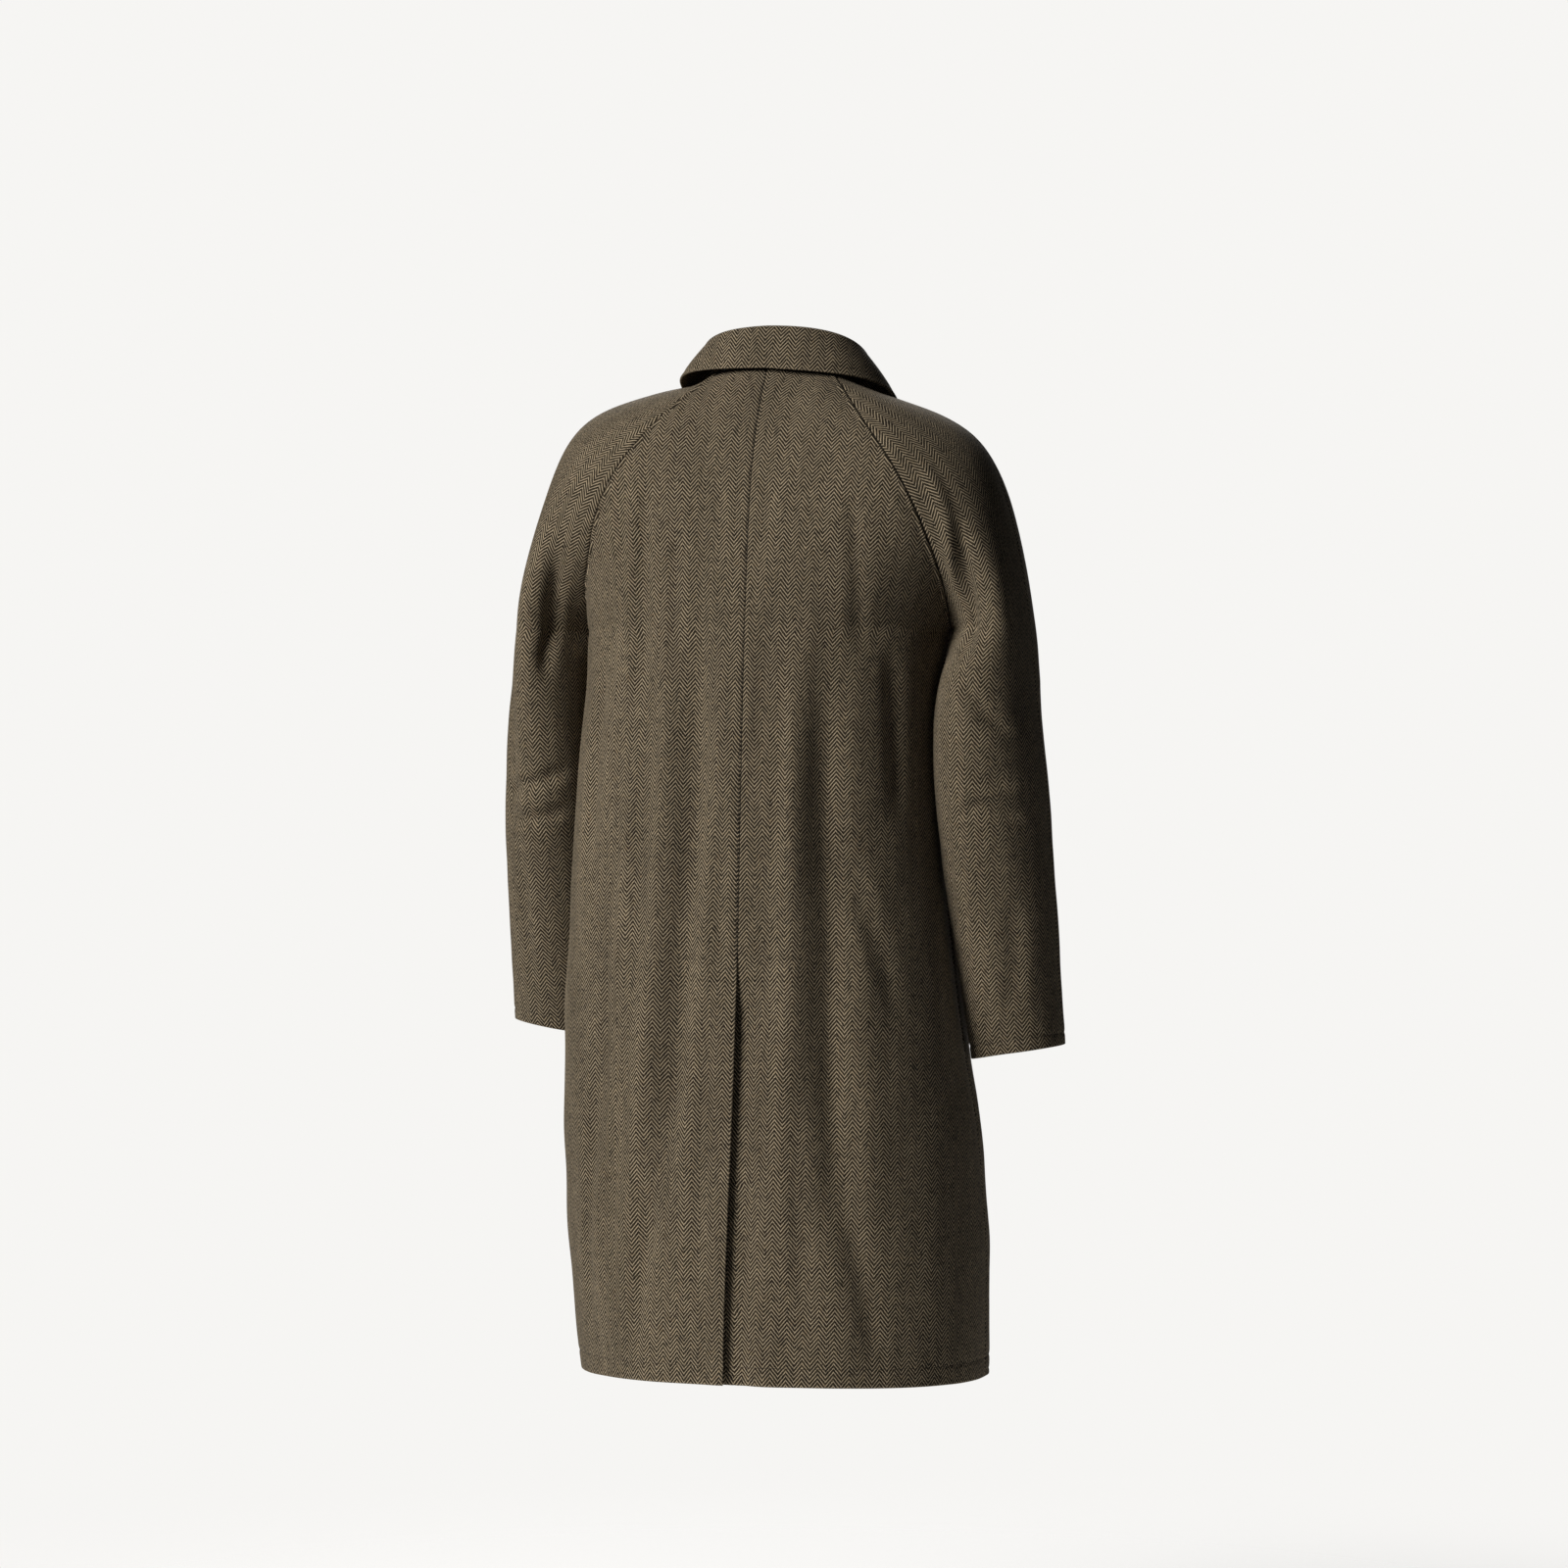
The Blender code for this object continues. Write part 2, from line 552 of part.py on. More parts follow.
def vent_row():
    """The row at which the vent opens."""
    drops = row_drops(BODY_SKIRT_ROWS, HEM_DROP)
    return int(np.argmin(np.abs(drops - VENT_DROP)))


def back_panel(side):
    """Outer face of one back panel; the right one also carries the vent underlap."""
    drops = row_drops(BODY_SKIRT_ROWS, HEM_DROP)
    widths = (0.0, VENT_LAP / 2, VENT_LAP)
    t = body_stations(back_grid, side, drops, widths, BACK_COLUMNS)
    points = back_points(side, drops, t)
    first = vent_row()
    if side > 0:
        points[:, 0, 0] += VENT_SPREAD * ramp(drops, VENT_DROP, HEM_DROP)
        points[first:, 0, 0] += SEAM_HALF_GAP * 2
        return points, side, None
    depth = CLOTH_WALL + LAP_CLEARANCE
    below = ramp(drops, drops[first - 1], drops[first])[:, None]
    near = 1 - ramp(-points[..., 0], VENT_SPREAD, VENT_LAP)
    points = points - normals_of(points, side) * (depth * below * near)[..., None]
    over_t = body_stations(back_grid, 1, drops, widths, BACK_COLUMNS)
    over = back_points(1, drops, over_t)
    lap = over - normals_of(over, 1) * depth
    lap = lap[:, VENT_LAP_COLUMNS:0:-1]
    lap[first, :, 2] -= VENT_SLANT * np.array([1.0, 0.5])
    points[first, 0, 0] -= SEAM_HALF_GAP * 2
    grid = np.concatenate([lap, points], axis=1)
    keep = np.ones((grid.shape[0] - 1, grid.shape[1] - 1), bool)
    keep[:first, :VENT_LAP_COLUMNS] = False
    return grid, side, keep


def front_panel(side):
    """Outer face of one front panel with its lap; the right one lies under the left."""
    drops = row_drops(BODY_SKIRT_ROWS, HEM_DROP)
    widths = (0.0, FRONT_LAP / 2, FRONT_LAP)
    halves = {}
    for each in (side, -side):
        t = body_stations(front_grid, each, drops, widths, FRONT_COLUMNS)
        halves[each] = front_grid(each, drops, t)
    lap = mirrored(halves[-side][:, 2:0:-1], -1)
    points = mirrored(np.concatenate([lap, halves[side]], axis=1), side)
    if side < 0:
        near = 1 - ramp(-points[..., 0], FRONT_LAP, FRONT_LAP + LAP_EASE)
        depth = (CLOTH_WALL + LAP_CLEARANCE) * near
        points = points - normals_of(points, -side) * depth[..., None]
    return points, -side, None


def sleeve_panels(side):
    """Outer faces of the back and front halves of one sleeve."""
    drops = row_drops(SLEEVE_ARM_ROWS, CUFF_DROP)
    t = np.linspace(0.0, 1.0, SLEEVE_COLUMNS + 1)
    back = mirrored(sleeve_back_grid(side, drops, t), side)
    front = mirrored(sleeve_front_grid(side, drops, t), side)
    return (back, side, None), (front, side, None)


def build_buttons(collection, material):
    """Rimmed buttons on the centre front, each turned to the cloth under it."""
    drops = np.array(BUTTON_DROPS)
    here = front_grid(1, drops, [0.0])[:, 0]
    above = front_grid(1, drops - BUTTON_RADIUS, [0.0])[:, 0]
    below = front_grid(1, drops + BUTTON_RADIUS, [0.0])[:, 0]
    for number, (place, slope) in enumerate(zip(here, below - above), start=1):
        outward = Vector((0.0, slope[2], -slope[1])).normalized()
        turn = outward.to_track_quat("Z", "Y")
        place = Vector(place) + outward * BUTTON_CLEARANCE
        name = "button_" + str(number)
        profile = bpy.data.meshes.new(name)
        edges = [(i, i + 1) for i in range(len(BUTTON_PROFILE) - 1)]
        profile.from_pydata(BUTTON_PROFILE, edges, [])
        profile.materials.append(material)
        button = bpy.data.objects.new(name, profile)
        collection.objects.link(button)
        button.location = place
        button.rotation_mode = "QUATERNION"
        button.rotation_quaternion = turn
        spin = button.modifiers.new("turned", "SCREW")
        spin.angle = math.tau
        spin.steps = BUTTON_SIDES
        spin.render_steps = BUTTON_SIDES
        spin.use_merge_vertices = True
        spin.merge_threshold = 0.0001
        spin.use_normal_calculate = True


def collar_line(name, t):
    """One collar line from the right front end round the back to the left front end."""
    start, handle_a, handle_b, end = (np.array([p], float) for p in COLLAR_LINES[name])
    half = cubic(start, handle_a, handle_b, end, t)[0]
    right = half[::-1] * np.array([-1.0, 1.0, 1.0])
    return np.concatenate([right[:-1], half])


def neckline(panels, count):
    """The top edge of all panels, from the right front round the back to the left one."""
    left = [panels["back_left"][0][0], panels["sleeve_back_left"][0][0][1:],
            panels["sleeve_front_left"][0][0][1:], panels["front_left"][0][0][-2:1:-1]]
    half = np.concatenate(left)
    half[0, 0] = 0.0
    run = np.linalg.norm(np.diff(half, axis=0), axis=1)
    run = np.concatenate([[0.0], np.cumsum(run)])
    end = np.interp(-COLLAR_END, -half[::-1, 0][:3], run[::-1][:3])
    at = np.linspace(0.0, end, count + 1)
    half = np.column_stack([np.interp(at, run, half[:, k]) for k in range(3)])
    return np.concatenate([mirrored(half[:0:-1], -1), half])


def leaf_grid(root, edge):
    """Outer face of the collar leaf: up from its root, round the roll, down to its edge."""
    out = unit((edge - root) * np.array([1.0, 1.0, 0.0]))
    up = np.array([0.0, 0.0, 1.0])
    centre = root + up * LEAF_RISE + out * ROLL_RADIUS
    rows = [root]
    for angle in np.linspace(math.pi, ROLL_END, ROLL_ROWS + 1):
        rows.append(centre + (out * math.cos(angle) + up * math.sin(angle)) * ROLL_RADIUS)
    turned = rows[-1]
    for part in np.linspace(0.0, 1.0, FALL_ROWS + 1)[1:]:
        bow = out * LEAF_BOW * math.sin(math.pi * part)
        rows.append(turned + (edge - turned) * part + bow)
    return np.stack(rows)


def build_collar(panels, collection, material):
    """The collar stand and the turned-down leaf."""
    t = np.linspace(0.0, 1.0, COLLAR_HALF_COLUMNS + 1)
    seam = neckline(panels, COLLAR_HALF_COLUMNS) + np.array([0.0, 0.0, NECK_SEAM_GAP])
    top = collar_line("stand_top", t)
    mix = np.linspace(0.0, 1.0, STAND_ROWS + 1)[:, None, None]
    stand = top[None] * (1 - mix) + seam[None] * mix
    stand_normals = normals_of(stand, 1)
    stand_normals[0] = unit(stand_normals[0] * np.array([1.0, 1.0, 0.0]))
    cloth("collar_stand", stand, stand_normals, 1, CLOTH_WALL, None, collection, material)
    root = top - stand_normals[0] * LEAF_STEP + np.array([0.0, 0.0, LEAF_GAP])
    edge = collar_line("leaf_edge", t)
    edge[:, 2] += edge[:, 0] * LEAF_TILT
    leaf = leaf_grid(root, edge)
    leaf_normals = normals_of(leaf, 1)
    leaf_normals[0] = -stand_normals[0]
    cloth("collar_fall", leaf, leaf_normals, 1, COLLAR_WALL, None, collection, material)


def build_panels(collection):
    """All body and sleeve panels, with mitred walls at their seams."""
    panels = {}
    for side, word in ((1, "left"), (-1, "right")):
        panels["back_" + word] = back_panel(side)
        panels["front_" + word] = front_panel(side)
        halves = sleeve_panels(side)
        panels["sleeve_back_" + word] = halves[0]
        panels["sleeve_front_" + word] = halves[1]
    normals = seam_normals(panels)
    for name, (points, facing, keep) in panels.items():
        material = new_material(name + "_cloth", WEAVE_COLOUR, CLOTH_ROUGHNESS)
        cloth(name, points, normals[name], facing, CLOTH_WALL, keep, collection, material)
    return panels


def main():
    """Clear the scene and build every piece of the coat."""
    for obj in list(bpy.data.objects):
        bpy.data.objects.remove(obj, do_unlink=True)
    coat = bpy.data.collections.new("raglan_car_coat")
    bpy.context.scene.collection.children.link(coat)
    panels = build_panels(coat)
    build_collar(panels, coat, new_material("collar_cloth", COLLAR_COLOUR, CLOTH_ROUGHNESS))
    build_buttons(coat, new_material("button_horn", BUTTON_COLOUR, BUTTON_ROUGHNESS))


main()
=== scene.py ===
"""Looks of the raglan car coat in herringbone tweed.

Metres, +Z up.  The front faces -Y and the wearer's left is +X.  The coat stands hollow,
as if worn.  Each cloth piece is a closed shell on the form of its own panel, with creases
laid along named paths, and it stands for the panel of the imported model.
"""
import math
from functools import lru_cache

import bpy
import numpy as np
from bpy.props import FloatProperty, FloatVectorProperty, PointerProperty
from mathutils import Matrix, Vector


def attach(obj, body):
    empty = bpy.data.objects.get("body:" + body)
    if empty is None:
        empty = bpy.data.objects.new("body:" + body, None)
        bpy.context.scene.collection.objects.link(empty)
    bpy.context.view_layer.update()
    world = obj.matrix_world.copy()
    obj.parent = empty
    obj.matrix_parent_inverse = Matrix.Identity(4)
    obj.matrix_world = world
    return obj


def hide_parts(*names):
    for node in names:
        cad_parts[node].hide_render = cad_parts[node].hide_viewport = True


bl_info = {
    "name": "Herringbone car coat",
    "version": (1, 0, 0),
    "blender": (4, 5, 0),
    "location": "3D View > Sidebar > Coat",
    "description": "Cloth, sewing, buttons and studio of a raglan car coat",
    "category": "Add Mesh",
}

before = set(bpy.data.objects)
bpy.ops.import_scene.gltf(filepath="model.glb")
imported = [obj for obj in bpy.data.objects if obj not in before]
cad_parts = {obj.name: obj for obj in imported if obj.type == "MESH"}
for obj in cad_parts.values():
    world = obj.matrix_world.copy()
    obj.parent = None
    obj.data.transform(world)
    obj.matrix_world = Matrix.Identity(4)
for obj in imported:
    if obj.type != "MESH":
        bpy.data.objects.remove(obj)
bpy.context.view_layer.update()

# Main sizes, as in the part
CLOTH_WALL = 0.0025
COLLAR_WALL = 0.0030
SEAM_HALF_GAP = 0.00015
LAP_CLEARANCE = 0.0005
NECK_SEAM_GAP = 0.0008
COLLAR_END = 0.004
LEAF_STEP = 0.0028
LEAF_GAP = 0.0004
UNDERARM_DROP = 0.285
ARMHOLE_DROP = 0.190
VENT_DROP = 0.642
HEM_DROP = 1.086
CUFF_DROP = 0.742
FRONT_LAP = 0.025
LAP_EASE = 0.030
VENT_LAP = 0.045
VENT_SLANT = 0.0169
VENT_SPREAD = 0.010
VENT_TURN = 0.020
VENT_OPEN = 0.060
VENT_SINK = 0.0055
VENT_LIFT = 0.0018
VENT_SPREAD_REACH = 0.060
VENT_LIFT_REACH = 0.035
VENT_SINK_REACH = (0.004, 0.030)
BUTTON_DROPS = (0.190, 0.335, 0.480, 0.625)
BUTTON_CLEARANCE = 0.0003
BUTTON_DISH = 0.0012
HOLE_SPREAD = 0.0027
HOLE_DEPTH = 0.0020
CAMERA_AIM = (-0.0031, -0.0009, -0.451)
CAMERA_LENS = 97.2
CAMERA_SENSOR = 36.0
LIGHT_AIM = (0.0, 0.0, -0.45)

# Rounding of the tables
SAMPLES = 401
SOFTNESS = 0.020

# Number of cells in each grid
YOKE_ROWS = 64
SKIRT_ROWS = 150
ARM_ROWS = 100
BACK_COLUMNS = 46
FRONT_COLUMNS = 38
SLEEVE_COLUMNS = 38
COLLAR_HALF_COLUMNS = 84
STAND_ROWS = 10
ROLL_ROWS = 12
FALL_ROWS = 22
UNDERLAP_COLUMNS = 14
VENT_STITCH_POINTS = 24
RING_POINTS = 96

# Distances from an edge at which every panel has a line of points
EDGE_STATIONS = (0.0, 0.0006, 0.0014, 0.0024, 0.0040, 0.0060, 0.0080, 0.0105)
HEM_STITCH = 0.020
CUFF_STITCH = 0.0145
SEAM_STITCH = 0.0060
CENTRE_STITCH = 0.0018

# Flat net on which a panel is laid out
NET_ROWS = 36
NET_COLUMNS = 13
NET_STEPS = 1400
NET_PULL = 1.0

# Tables.  Each row starts with the drop below the neck; lengths are in metres.
# The back raglan seam from the neck to the underarm.
BACK_RAGLAN = (
    # drop, x, y, z
    (0, 0.062, 0.026, -0.003),
    (0.03, 0.09, 0.066, -0.03),
    (0.057, 0.11, 0.09, -0.057),
    (0.083, 0.132, 0.105, -0.083),
    (0.105, 0.149, 0.111, -0.105),
    (0.134, 0.166, 0.112, -0.134),
    (0.168, 0.181, 0.106, -0.168),
    (0.205, 0.192, 0.09, -0.205),
    (0.245, 0.198, 0.056, -0.245),
    (0.285, 0.19, 0, -0.285),
)
# The side seam from the underarm to the hem.
SIDE_SEAM = (
    # drop, x, y, z
    (0.285, 0.19, 0, -0.285),
    (0.32, 0.1865, 0, -0.32),
    (0.38, 0.1865, 0, -0.38),
    (0.45, 0.187, 0, -0.45),
    (0.55, 0.191, 0, -0.55),
    (0.7, 0.201, -0.002, -0.7),
    (0.745, 0.206, -0.002, -0.745),
    (0.82, 0.219, -0.002, -0.82),
    (0.94, 0.226, 0, -0.94),
    (1.086, 0.222, 0, -1.086),
)
# The front raglan seam; below the underarm it shares the side seam.
FRONT_EDGE = (
    # drop, x, y, z
    (0, 0.058, -0.068, -0.046),
    (0.057, 0.084, -0.094, -0.09),
    (0.105, 0.112, -0.112, -0.13),
    (0.134, 0.132, -0.116, -0.16),
    (0.168, 0.152, -0.112, -0.192),
    (0.205, 0.17, -0.095, -0.226),
    (0.245, 0.184, -0.058, -0.26),
    (0.285, 0.19, 0, -0.285),
)
# The centre-back line, and how the cloth arrives at the seam beside it.
BACK_ROWS = (
    # drop, cb_y, cb_z, out, back, pull_cb, pull_seam
    (0, 0.052, 0, 0.6, -0.8, 0.36, 0.3),
    (0.03, 0.076, -0.03, 0.9, -0.42, 0.36, 0.3),
    (0.057, 0.092, -0.057, 0.97, -0.2, 0.36, 0.32),
    (0.083, 0.104, -0.083, 0.98, -0.16, 0.36, 0.34),
    (0.105, 0.112, -0.105, 0.97, -0.22, 0.36, 0.34),
    (0.134, 0.121, -0.134, 0.94, -0.32, 0.37, 0.34),
    (0.168, 0.127, -0.168, 0.88, -0.46, 0.38, 0.34),
    (0.205, 0.132, -0.205, 0.78, -0.62, 0.4, 0.34),
    (0.245, 0.137, -0.245, 0.55, -0.83, 0.42, 0.36),
    (0.285, 0.141, -0.285, 0.15, -0.99, 0.44, 0.38),
    (0.35, 0.147, -0.35, 0, -1, 0.44, 0.38),
    (0.45, 0.155, -0.45, -0.14, -0.99, 0.44, 0.38),
    (0.57, 0.163, -0.57, -0.2, -0.98, 0.44, 0.38),
    (0.7, 0.171, -0.7, -0.16, -0.99, 0.44, 0.38),
    (0.85, 0.177, -0.85, 0, -1, 0.43, 0.37),
    (1.086, 0.185, -1.08, 0, -1, 0.43, 0.37),
)
# The centre-front line, and how the cloth leaves the seam beside it.
FRONT_ROWS = (
    # drop, cf_y, cf_z, out, back, pull_seam, pull_cf
    (0, -0.095, -0.09, -0.75, -0.6, 0.3, 0.36),
    (0.057, -0.106, -0.122, -0.9, -0.4, 0.32, 0.36),
    (0.105, -0.118, -0.15, -0.97, -0.2, 0.32, 0.36),
    (0.134, -0.125, -0.172, -0.94, -0.32, 0.34, 0.36),
    (0.168, -0.131, -0.198, -0.85, -0.5, 0.34, 0.37),
    (0.205, -0.136, -0.226, -0.7, -0.7, 0.34, 0.39),
    (0.245, -0.14, -0.258, -0.4, -0.9, 0.36, 0.41),
    (0.285, -0.143, -0.287, -0.1, -0.99, 0.38, 0.44),
    (0.35, -0.147, -0.35, 0, -1, 0.38, 0.44),
    (0.45, -0.149, -0.45, 0.06, -1, 0.38, 0.44),
    (0.57, -0.151, -0.57, 0.1, -0.99, 0.38, 0.44),
    (0.7, -0.155, -0.7, 0.08, -1, 0.38, 0.44),
    (0.85, -0.16, -0.85, 0, -1, 0.37, 0.43),
    (1.086, -0.166, -1.086, 0, -1, 0.37, 0.43),
)
# The line over the shoulder and down the outside of the arm.
OVERARM = (
    # drop, x, y, z
    (0, 0.079, -0.02, -0.016),
    (0.03, 0.108, -0.018, -0.026),
    (0.057, 0.14, -0.015, -0.034),
    (0.083, 0.17, -0.012, -0.042),
    (0.105, 0.194, -0.01, -0.05),
    (0.134, 0.221, -0.006, -0.066),
    (0.168, 0.245, -0.003, -0.096),
    (0.205, 0.264, 0, -0.147),
    (0.245, 0.279, 0, -0.214),
    (0.285, 0.291, 0, -0.29),
    (0.35, 0.299, -0.001, -0.35),
    (0.45, 0.305, -0.006, -0.45),
    (0.55, 0.307, -0.014, -0.545),
    (0.65, 0.308, -0.024, -0.64),
    (0.742, 0.308, -0.035, -0.722),
)
# The line under the arm, from the underarm point to the cuff.
UNDERARM = (
    # drop, x, y, z
    (0.285, 0.19, 0, -0.285),
    (0.32, 0.1935, 0, -0.32),
    (0.38, 0.195, -0.003, -0.38),
    (0.45, 0.1965, -0.006, -0.45),
    (0.55, 0.2, -0.014, -0.55),
    (0.65, 0.206, -0.025, -0.65),
    (0.742, 0.211, -0.036, -0.738),
)
# How the back half of the sleeve leaves the raglan seam and reaches the overarm line.
SLEEVE_BACK_ROWS = (
    # drop, out, back, up, pull_seam, pull_over
    (0, 0.5, -0.84, -0.2, 0.016, 0.016),
    (0.03, 0.55, -0.6, 0.3, 0.022, 0.03),
    (0.057, 0.62, -0.34, 0.6, 0.026, 0.042),
    (0.083, 0.66, -0.2, 0.7, 0.03, 0.05),
    (0.105, 0.75, -0.15, 0.62, 0.034, 0.056),
    (0.134, 0.86, -0.1, 0.48, 0.04, 0.062),
    (0.168, 0.93, 0, 0.33, 0.046, 0.07),
    (0.205, 0.94, 0.26, 0.18, 0.052, 0.084),
    (0.245, 0.78, 0.6, 0.08, 0.064, 0.098),
    (0.285, 0.48, 0.88, 0, 0.1, 0.118),
    (0.33, 0.16, 0.99, 0, 0.112, 0.116),
    (0.45, 0, 1, 0, 0.102, 0.102),
    (0.6, 0, 1, 0, 0.084, 0.084),
    (0.742, 0, 1, 0, 0.074, 0.074),
)
# The same for the front half, which runs from the overarm line to the front raglan seam.
SLEEVE_FRONT_ROWS = (
    # drop, out, back, up, pull_seam, pull_over
    (0, 0.55, 0.8, 0.4, 0.018, 0.02),
    (0.057, 0.66, 0.2, 0.7, 0.03, 0.04),
    (0.105, 0.78, 0.08, 0.6, 0.04, 0.052),
    (0.134, 0.86, 0.02, 0.48, 0.044, 0.06),
    (0.168, 0.92, -0.1, 0.36, 0.048, 0.068),
    (0.205, 0.9, -0.34, 0.22, 0.052, 0.08),
    (0.245, 0.74, -0.64, 0.1, 0.062, 0.094),
    (0.285, 0.48, -0.88, 0, 0.084, 0.106),
    (0.33, 0.14, -0.99, 0, 0.1, 0.106),
    (0.45, 0, -1, 0, 0.096, 0.096),
    (0.6, 0, -1, 0, 0.084, 0.084),
    (0.742, 0, -1, 0, 0.074, 0.074),
)
# How far each arm hangs out of the mean line, further forward, and its cuff lower.
ARM_POSE = {
    # side: drop, out, forward, down
    1: ((0, 0, 0, 0), (0.03, 0, 0, -0.01),
        (0.057, 0, 0, -0.013), (0.105, 0, 0, -0.013),
        (0.134, 0.003, 0, -0.015), (0.168, 0.001, 0, -0.011),
        (0.205, -0.002, 0, -0.003), (0.285, -0.001, 0, 0),
        (0.35, 0.002, 0.002, 0), (0.43, 0.008, 0.005, 0),
        (0.5, 0.011, 0.008, 0), (0.742, 0.014, 0.024, -0.01)),
    -1: ((0, 0, 0, 0), (0.057, -0.001, 0, 0.003),
         (0.083, -0.003, 0, 0.005), (0.105, -0.005, 0, 0.008),
         (0.14, -0.006, 0, 0.01), (0.18, -0.009, 0, 0.004),
         (0.285, -0.012, 0, 0), (0.366, -0.0155, 0, 0),
         (0.43, -0.012, 0, 0.002), (0.5, -0.01, 0, 0.004),
         (0.742, -0.001, -0.004, 0.009)),
}
# The same for the inner line of each sleeve, and how far the back half leans in behind
# the body from there.
ARM_INNER = {
    # side: drop, out, forward, down, lean
    1: ((0.285, 0.018, 0, 0, 0), (0.34, 0.016, 0.001, 0, 0),
        (0.4, 0.013, 0.003, 0, 0), (0.5, 0.013, 0.008, 0, 0),
        (0.742, 0.014, 0.024, -0.01, 0)),
    -1: ((0.285, 0, 0, 0, 0), (0.34, -0.014, -0.004, 0, 0.1),
         (0.4, -0.0185, -0.009, 0, 0.15), (0.5, -0.0165, -0.009, 0.004, 0.14),
         (0.62, -0.01, -0.008, 0.006, 0.1), (0.742, -0.002, -0.006, 0.009, 0.06)),
}
# How far each side seam hangs out of the mean line, and how full the back is beside it.
SIDE_POSE = {
    # side: drop, out, full
    1: ((0.285, 0.018, 0.03), (0.34, 0.013, 0.036), (0.4, 0.01, 0.048),
        (0.55, 0.011, 0.046), (0.7, 0.012, 0.042), (0.82, 0.007, 0.032),
        (0.94, 0.003, 0.016), (1.086, -0.003, 0)),
    -1: ((0.285, 0, 0), (0.34, -0.008, 0), (0.4, -0.012, -0.006),
         (0.5, -0.011, -0.006), (0.62, -0.006, 0), (0.72, -0.001, 0.004),
         (0.82, 0, 0.008), (0.94, 0.003, 0.002), (1.086, 0.006, 0)),
}
# The collar lines from the centre back to the front end, each one cubic curve.
COLLAR_LINES = {
    # name: start, first handle, second handle, end
    "stand_top": ((0, 0.0475, 0.032), (0.109, 0.0475, 0.03),
                  (0.109, -0.096, 0.004), (0.004, -0.0965, -0.0655)),
    "leaf_edge": ((0, 0.067, -0.005), (0.15, 0.074, -0.01),
                  (0.154, -0.1, 0.001), (0.05, -0.136, -0.128)),
}
LEAF_TILT = 0.05
LEAF_RISE = 0.003
ROLL_RADIUS = 0.0065
ROLL_END = 0.35
LEAF_BOW = 0.002

# Creases: a trough is negative.  Each path is given by drop and by the distance across
# the cloth from the centre line of the panel, to the wearer's left.
BACK_CREASES = (
    # height, width, (drop, across) from top to bottom
    (-0.0045, 0.01, ((0.11, 0.112), (0.24, 0.121), (0.38, 0.118))),
    (-0.0085, 0.017, ((0.17, 0.05), (0.5, 0.05), (0.62, 0.062),
                       (0.8, 0.074), (0.98, 0.104))),
    (0.005, 0.015, ((0.19, 0.084), (0.5, 0.086), (0.8, 0.112), (1.02, 0.142))),
    (-0.0095, 0.019, ((0.25, -0.086), (0.5, -0.094), (0.6, -0.1),
                       (0.85, -0.106), (1.01, -0.134))),
    (0.005, 0.016, ((0.28, -0.05), (0.6, -0.056), (0.92, -0.06))),
    (-0.0035, 0.013, ((0.52, -0.112), (0.61, -0.146), (0.71, -0.18))),
    (-0.005, 0.012, ((0.29, -0.158), (0.4, -0.17), (0.5, -0.176))),
    (-0.002, 0.009, ((0.27, -0.022), (0.34, -0.023), (0.43, -0.02))),
    (-0.004, 0.012, ((0.88, 0.094), (0.96, 0.108), (1.06, 0.122))),
    (-0.004, 0.012, ((0.88, -0.118), (0.96, -0.134), (1.07, -0.152))),
    (-0.004, 0.011, ((0.3, 0.172), (0.42, 0.186), (0.56, 0.19))),
    (-0.0035, 0.014, ((0.62, 0.15), (0.76, 0.166), (0.9, 0.184))),
    (-0.0022, 0.008, ((0.1, 0.14), (0.18, 0.146), (0.24, 0.144))),
    (-0.0026, 0.009, ((0.15, 0.076), (0.26, 0.08), (0.42, 0.079))),
    (-0.0026, 0.0085, ((0.43, 0.022), (0.56, 0.024), (0.66, 0.02))),
    (-0.0024, 0.008, ((0.33, -0.04), (0.45, -0.042), (0.58, -0.04))),
    (-0.0028, 0.009, ((0.12, -0.11), (0.22, -0.12), (0.33, -0.124))),
    (-0.003, 0.01, ((0.64, 0.03), (0.8, 0.036), (1, 0.04))),
    (-0.003, 0.01, ((0.7, -0.06), (0.86, -0.066), (1.05, -0.078))),
    (0.0024, 0.009, ((0.4, 0.128), (0.56, 0.136), (0.72, 0.15))),
    (-0.0026, 0.01, ((0.76, 0.176), (0.9, 0.19), (1.06, 0.196))),
)
FRONT_CREASES = (
    (-0.006, 0.013, ((0.23, 0.092), (0.42, 0.098), (0.64, 0.104), (0.86, 0.12))),
    (-0.006, 0.013, ((0.25, -0.088), (0.45, -0.096), (0.64, -0.1), (0.88, -0.118))),
    (0.004, 0.015, ((0.26, 0.06), (0.56, 0.064), (0.9, 0.072))),
    (0.004, 0.015, ((0.27, -0.058), (0.56, -0.062), (0.9, -0.07))),
    (-0.004, 0.011, ((0.17, 0.128), (0.24, 0.11), (0.32, 0.08))),
    (-0.004, 0.011, ((0.17, -0.124), (0.24, -0.106), (0.33, -0.076))),
    (-0.004, 0.012, ((0.56, 0.16), (0.7, 0.168), (0.88, 0.17))),
    (-0.004, 0.012, ((0.54, -0.158), (0.68, -0.166), (0.86, -0.168))),
)
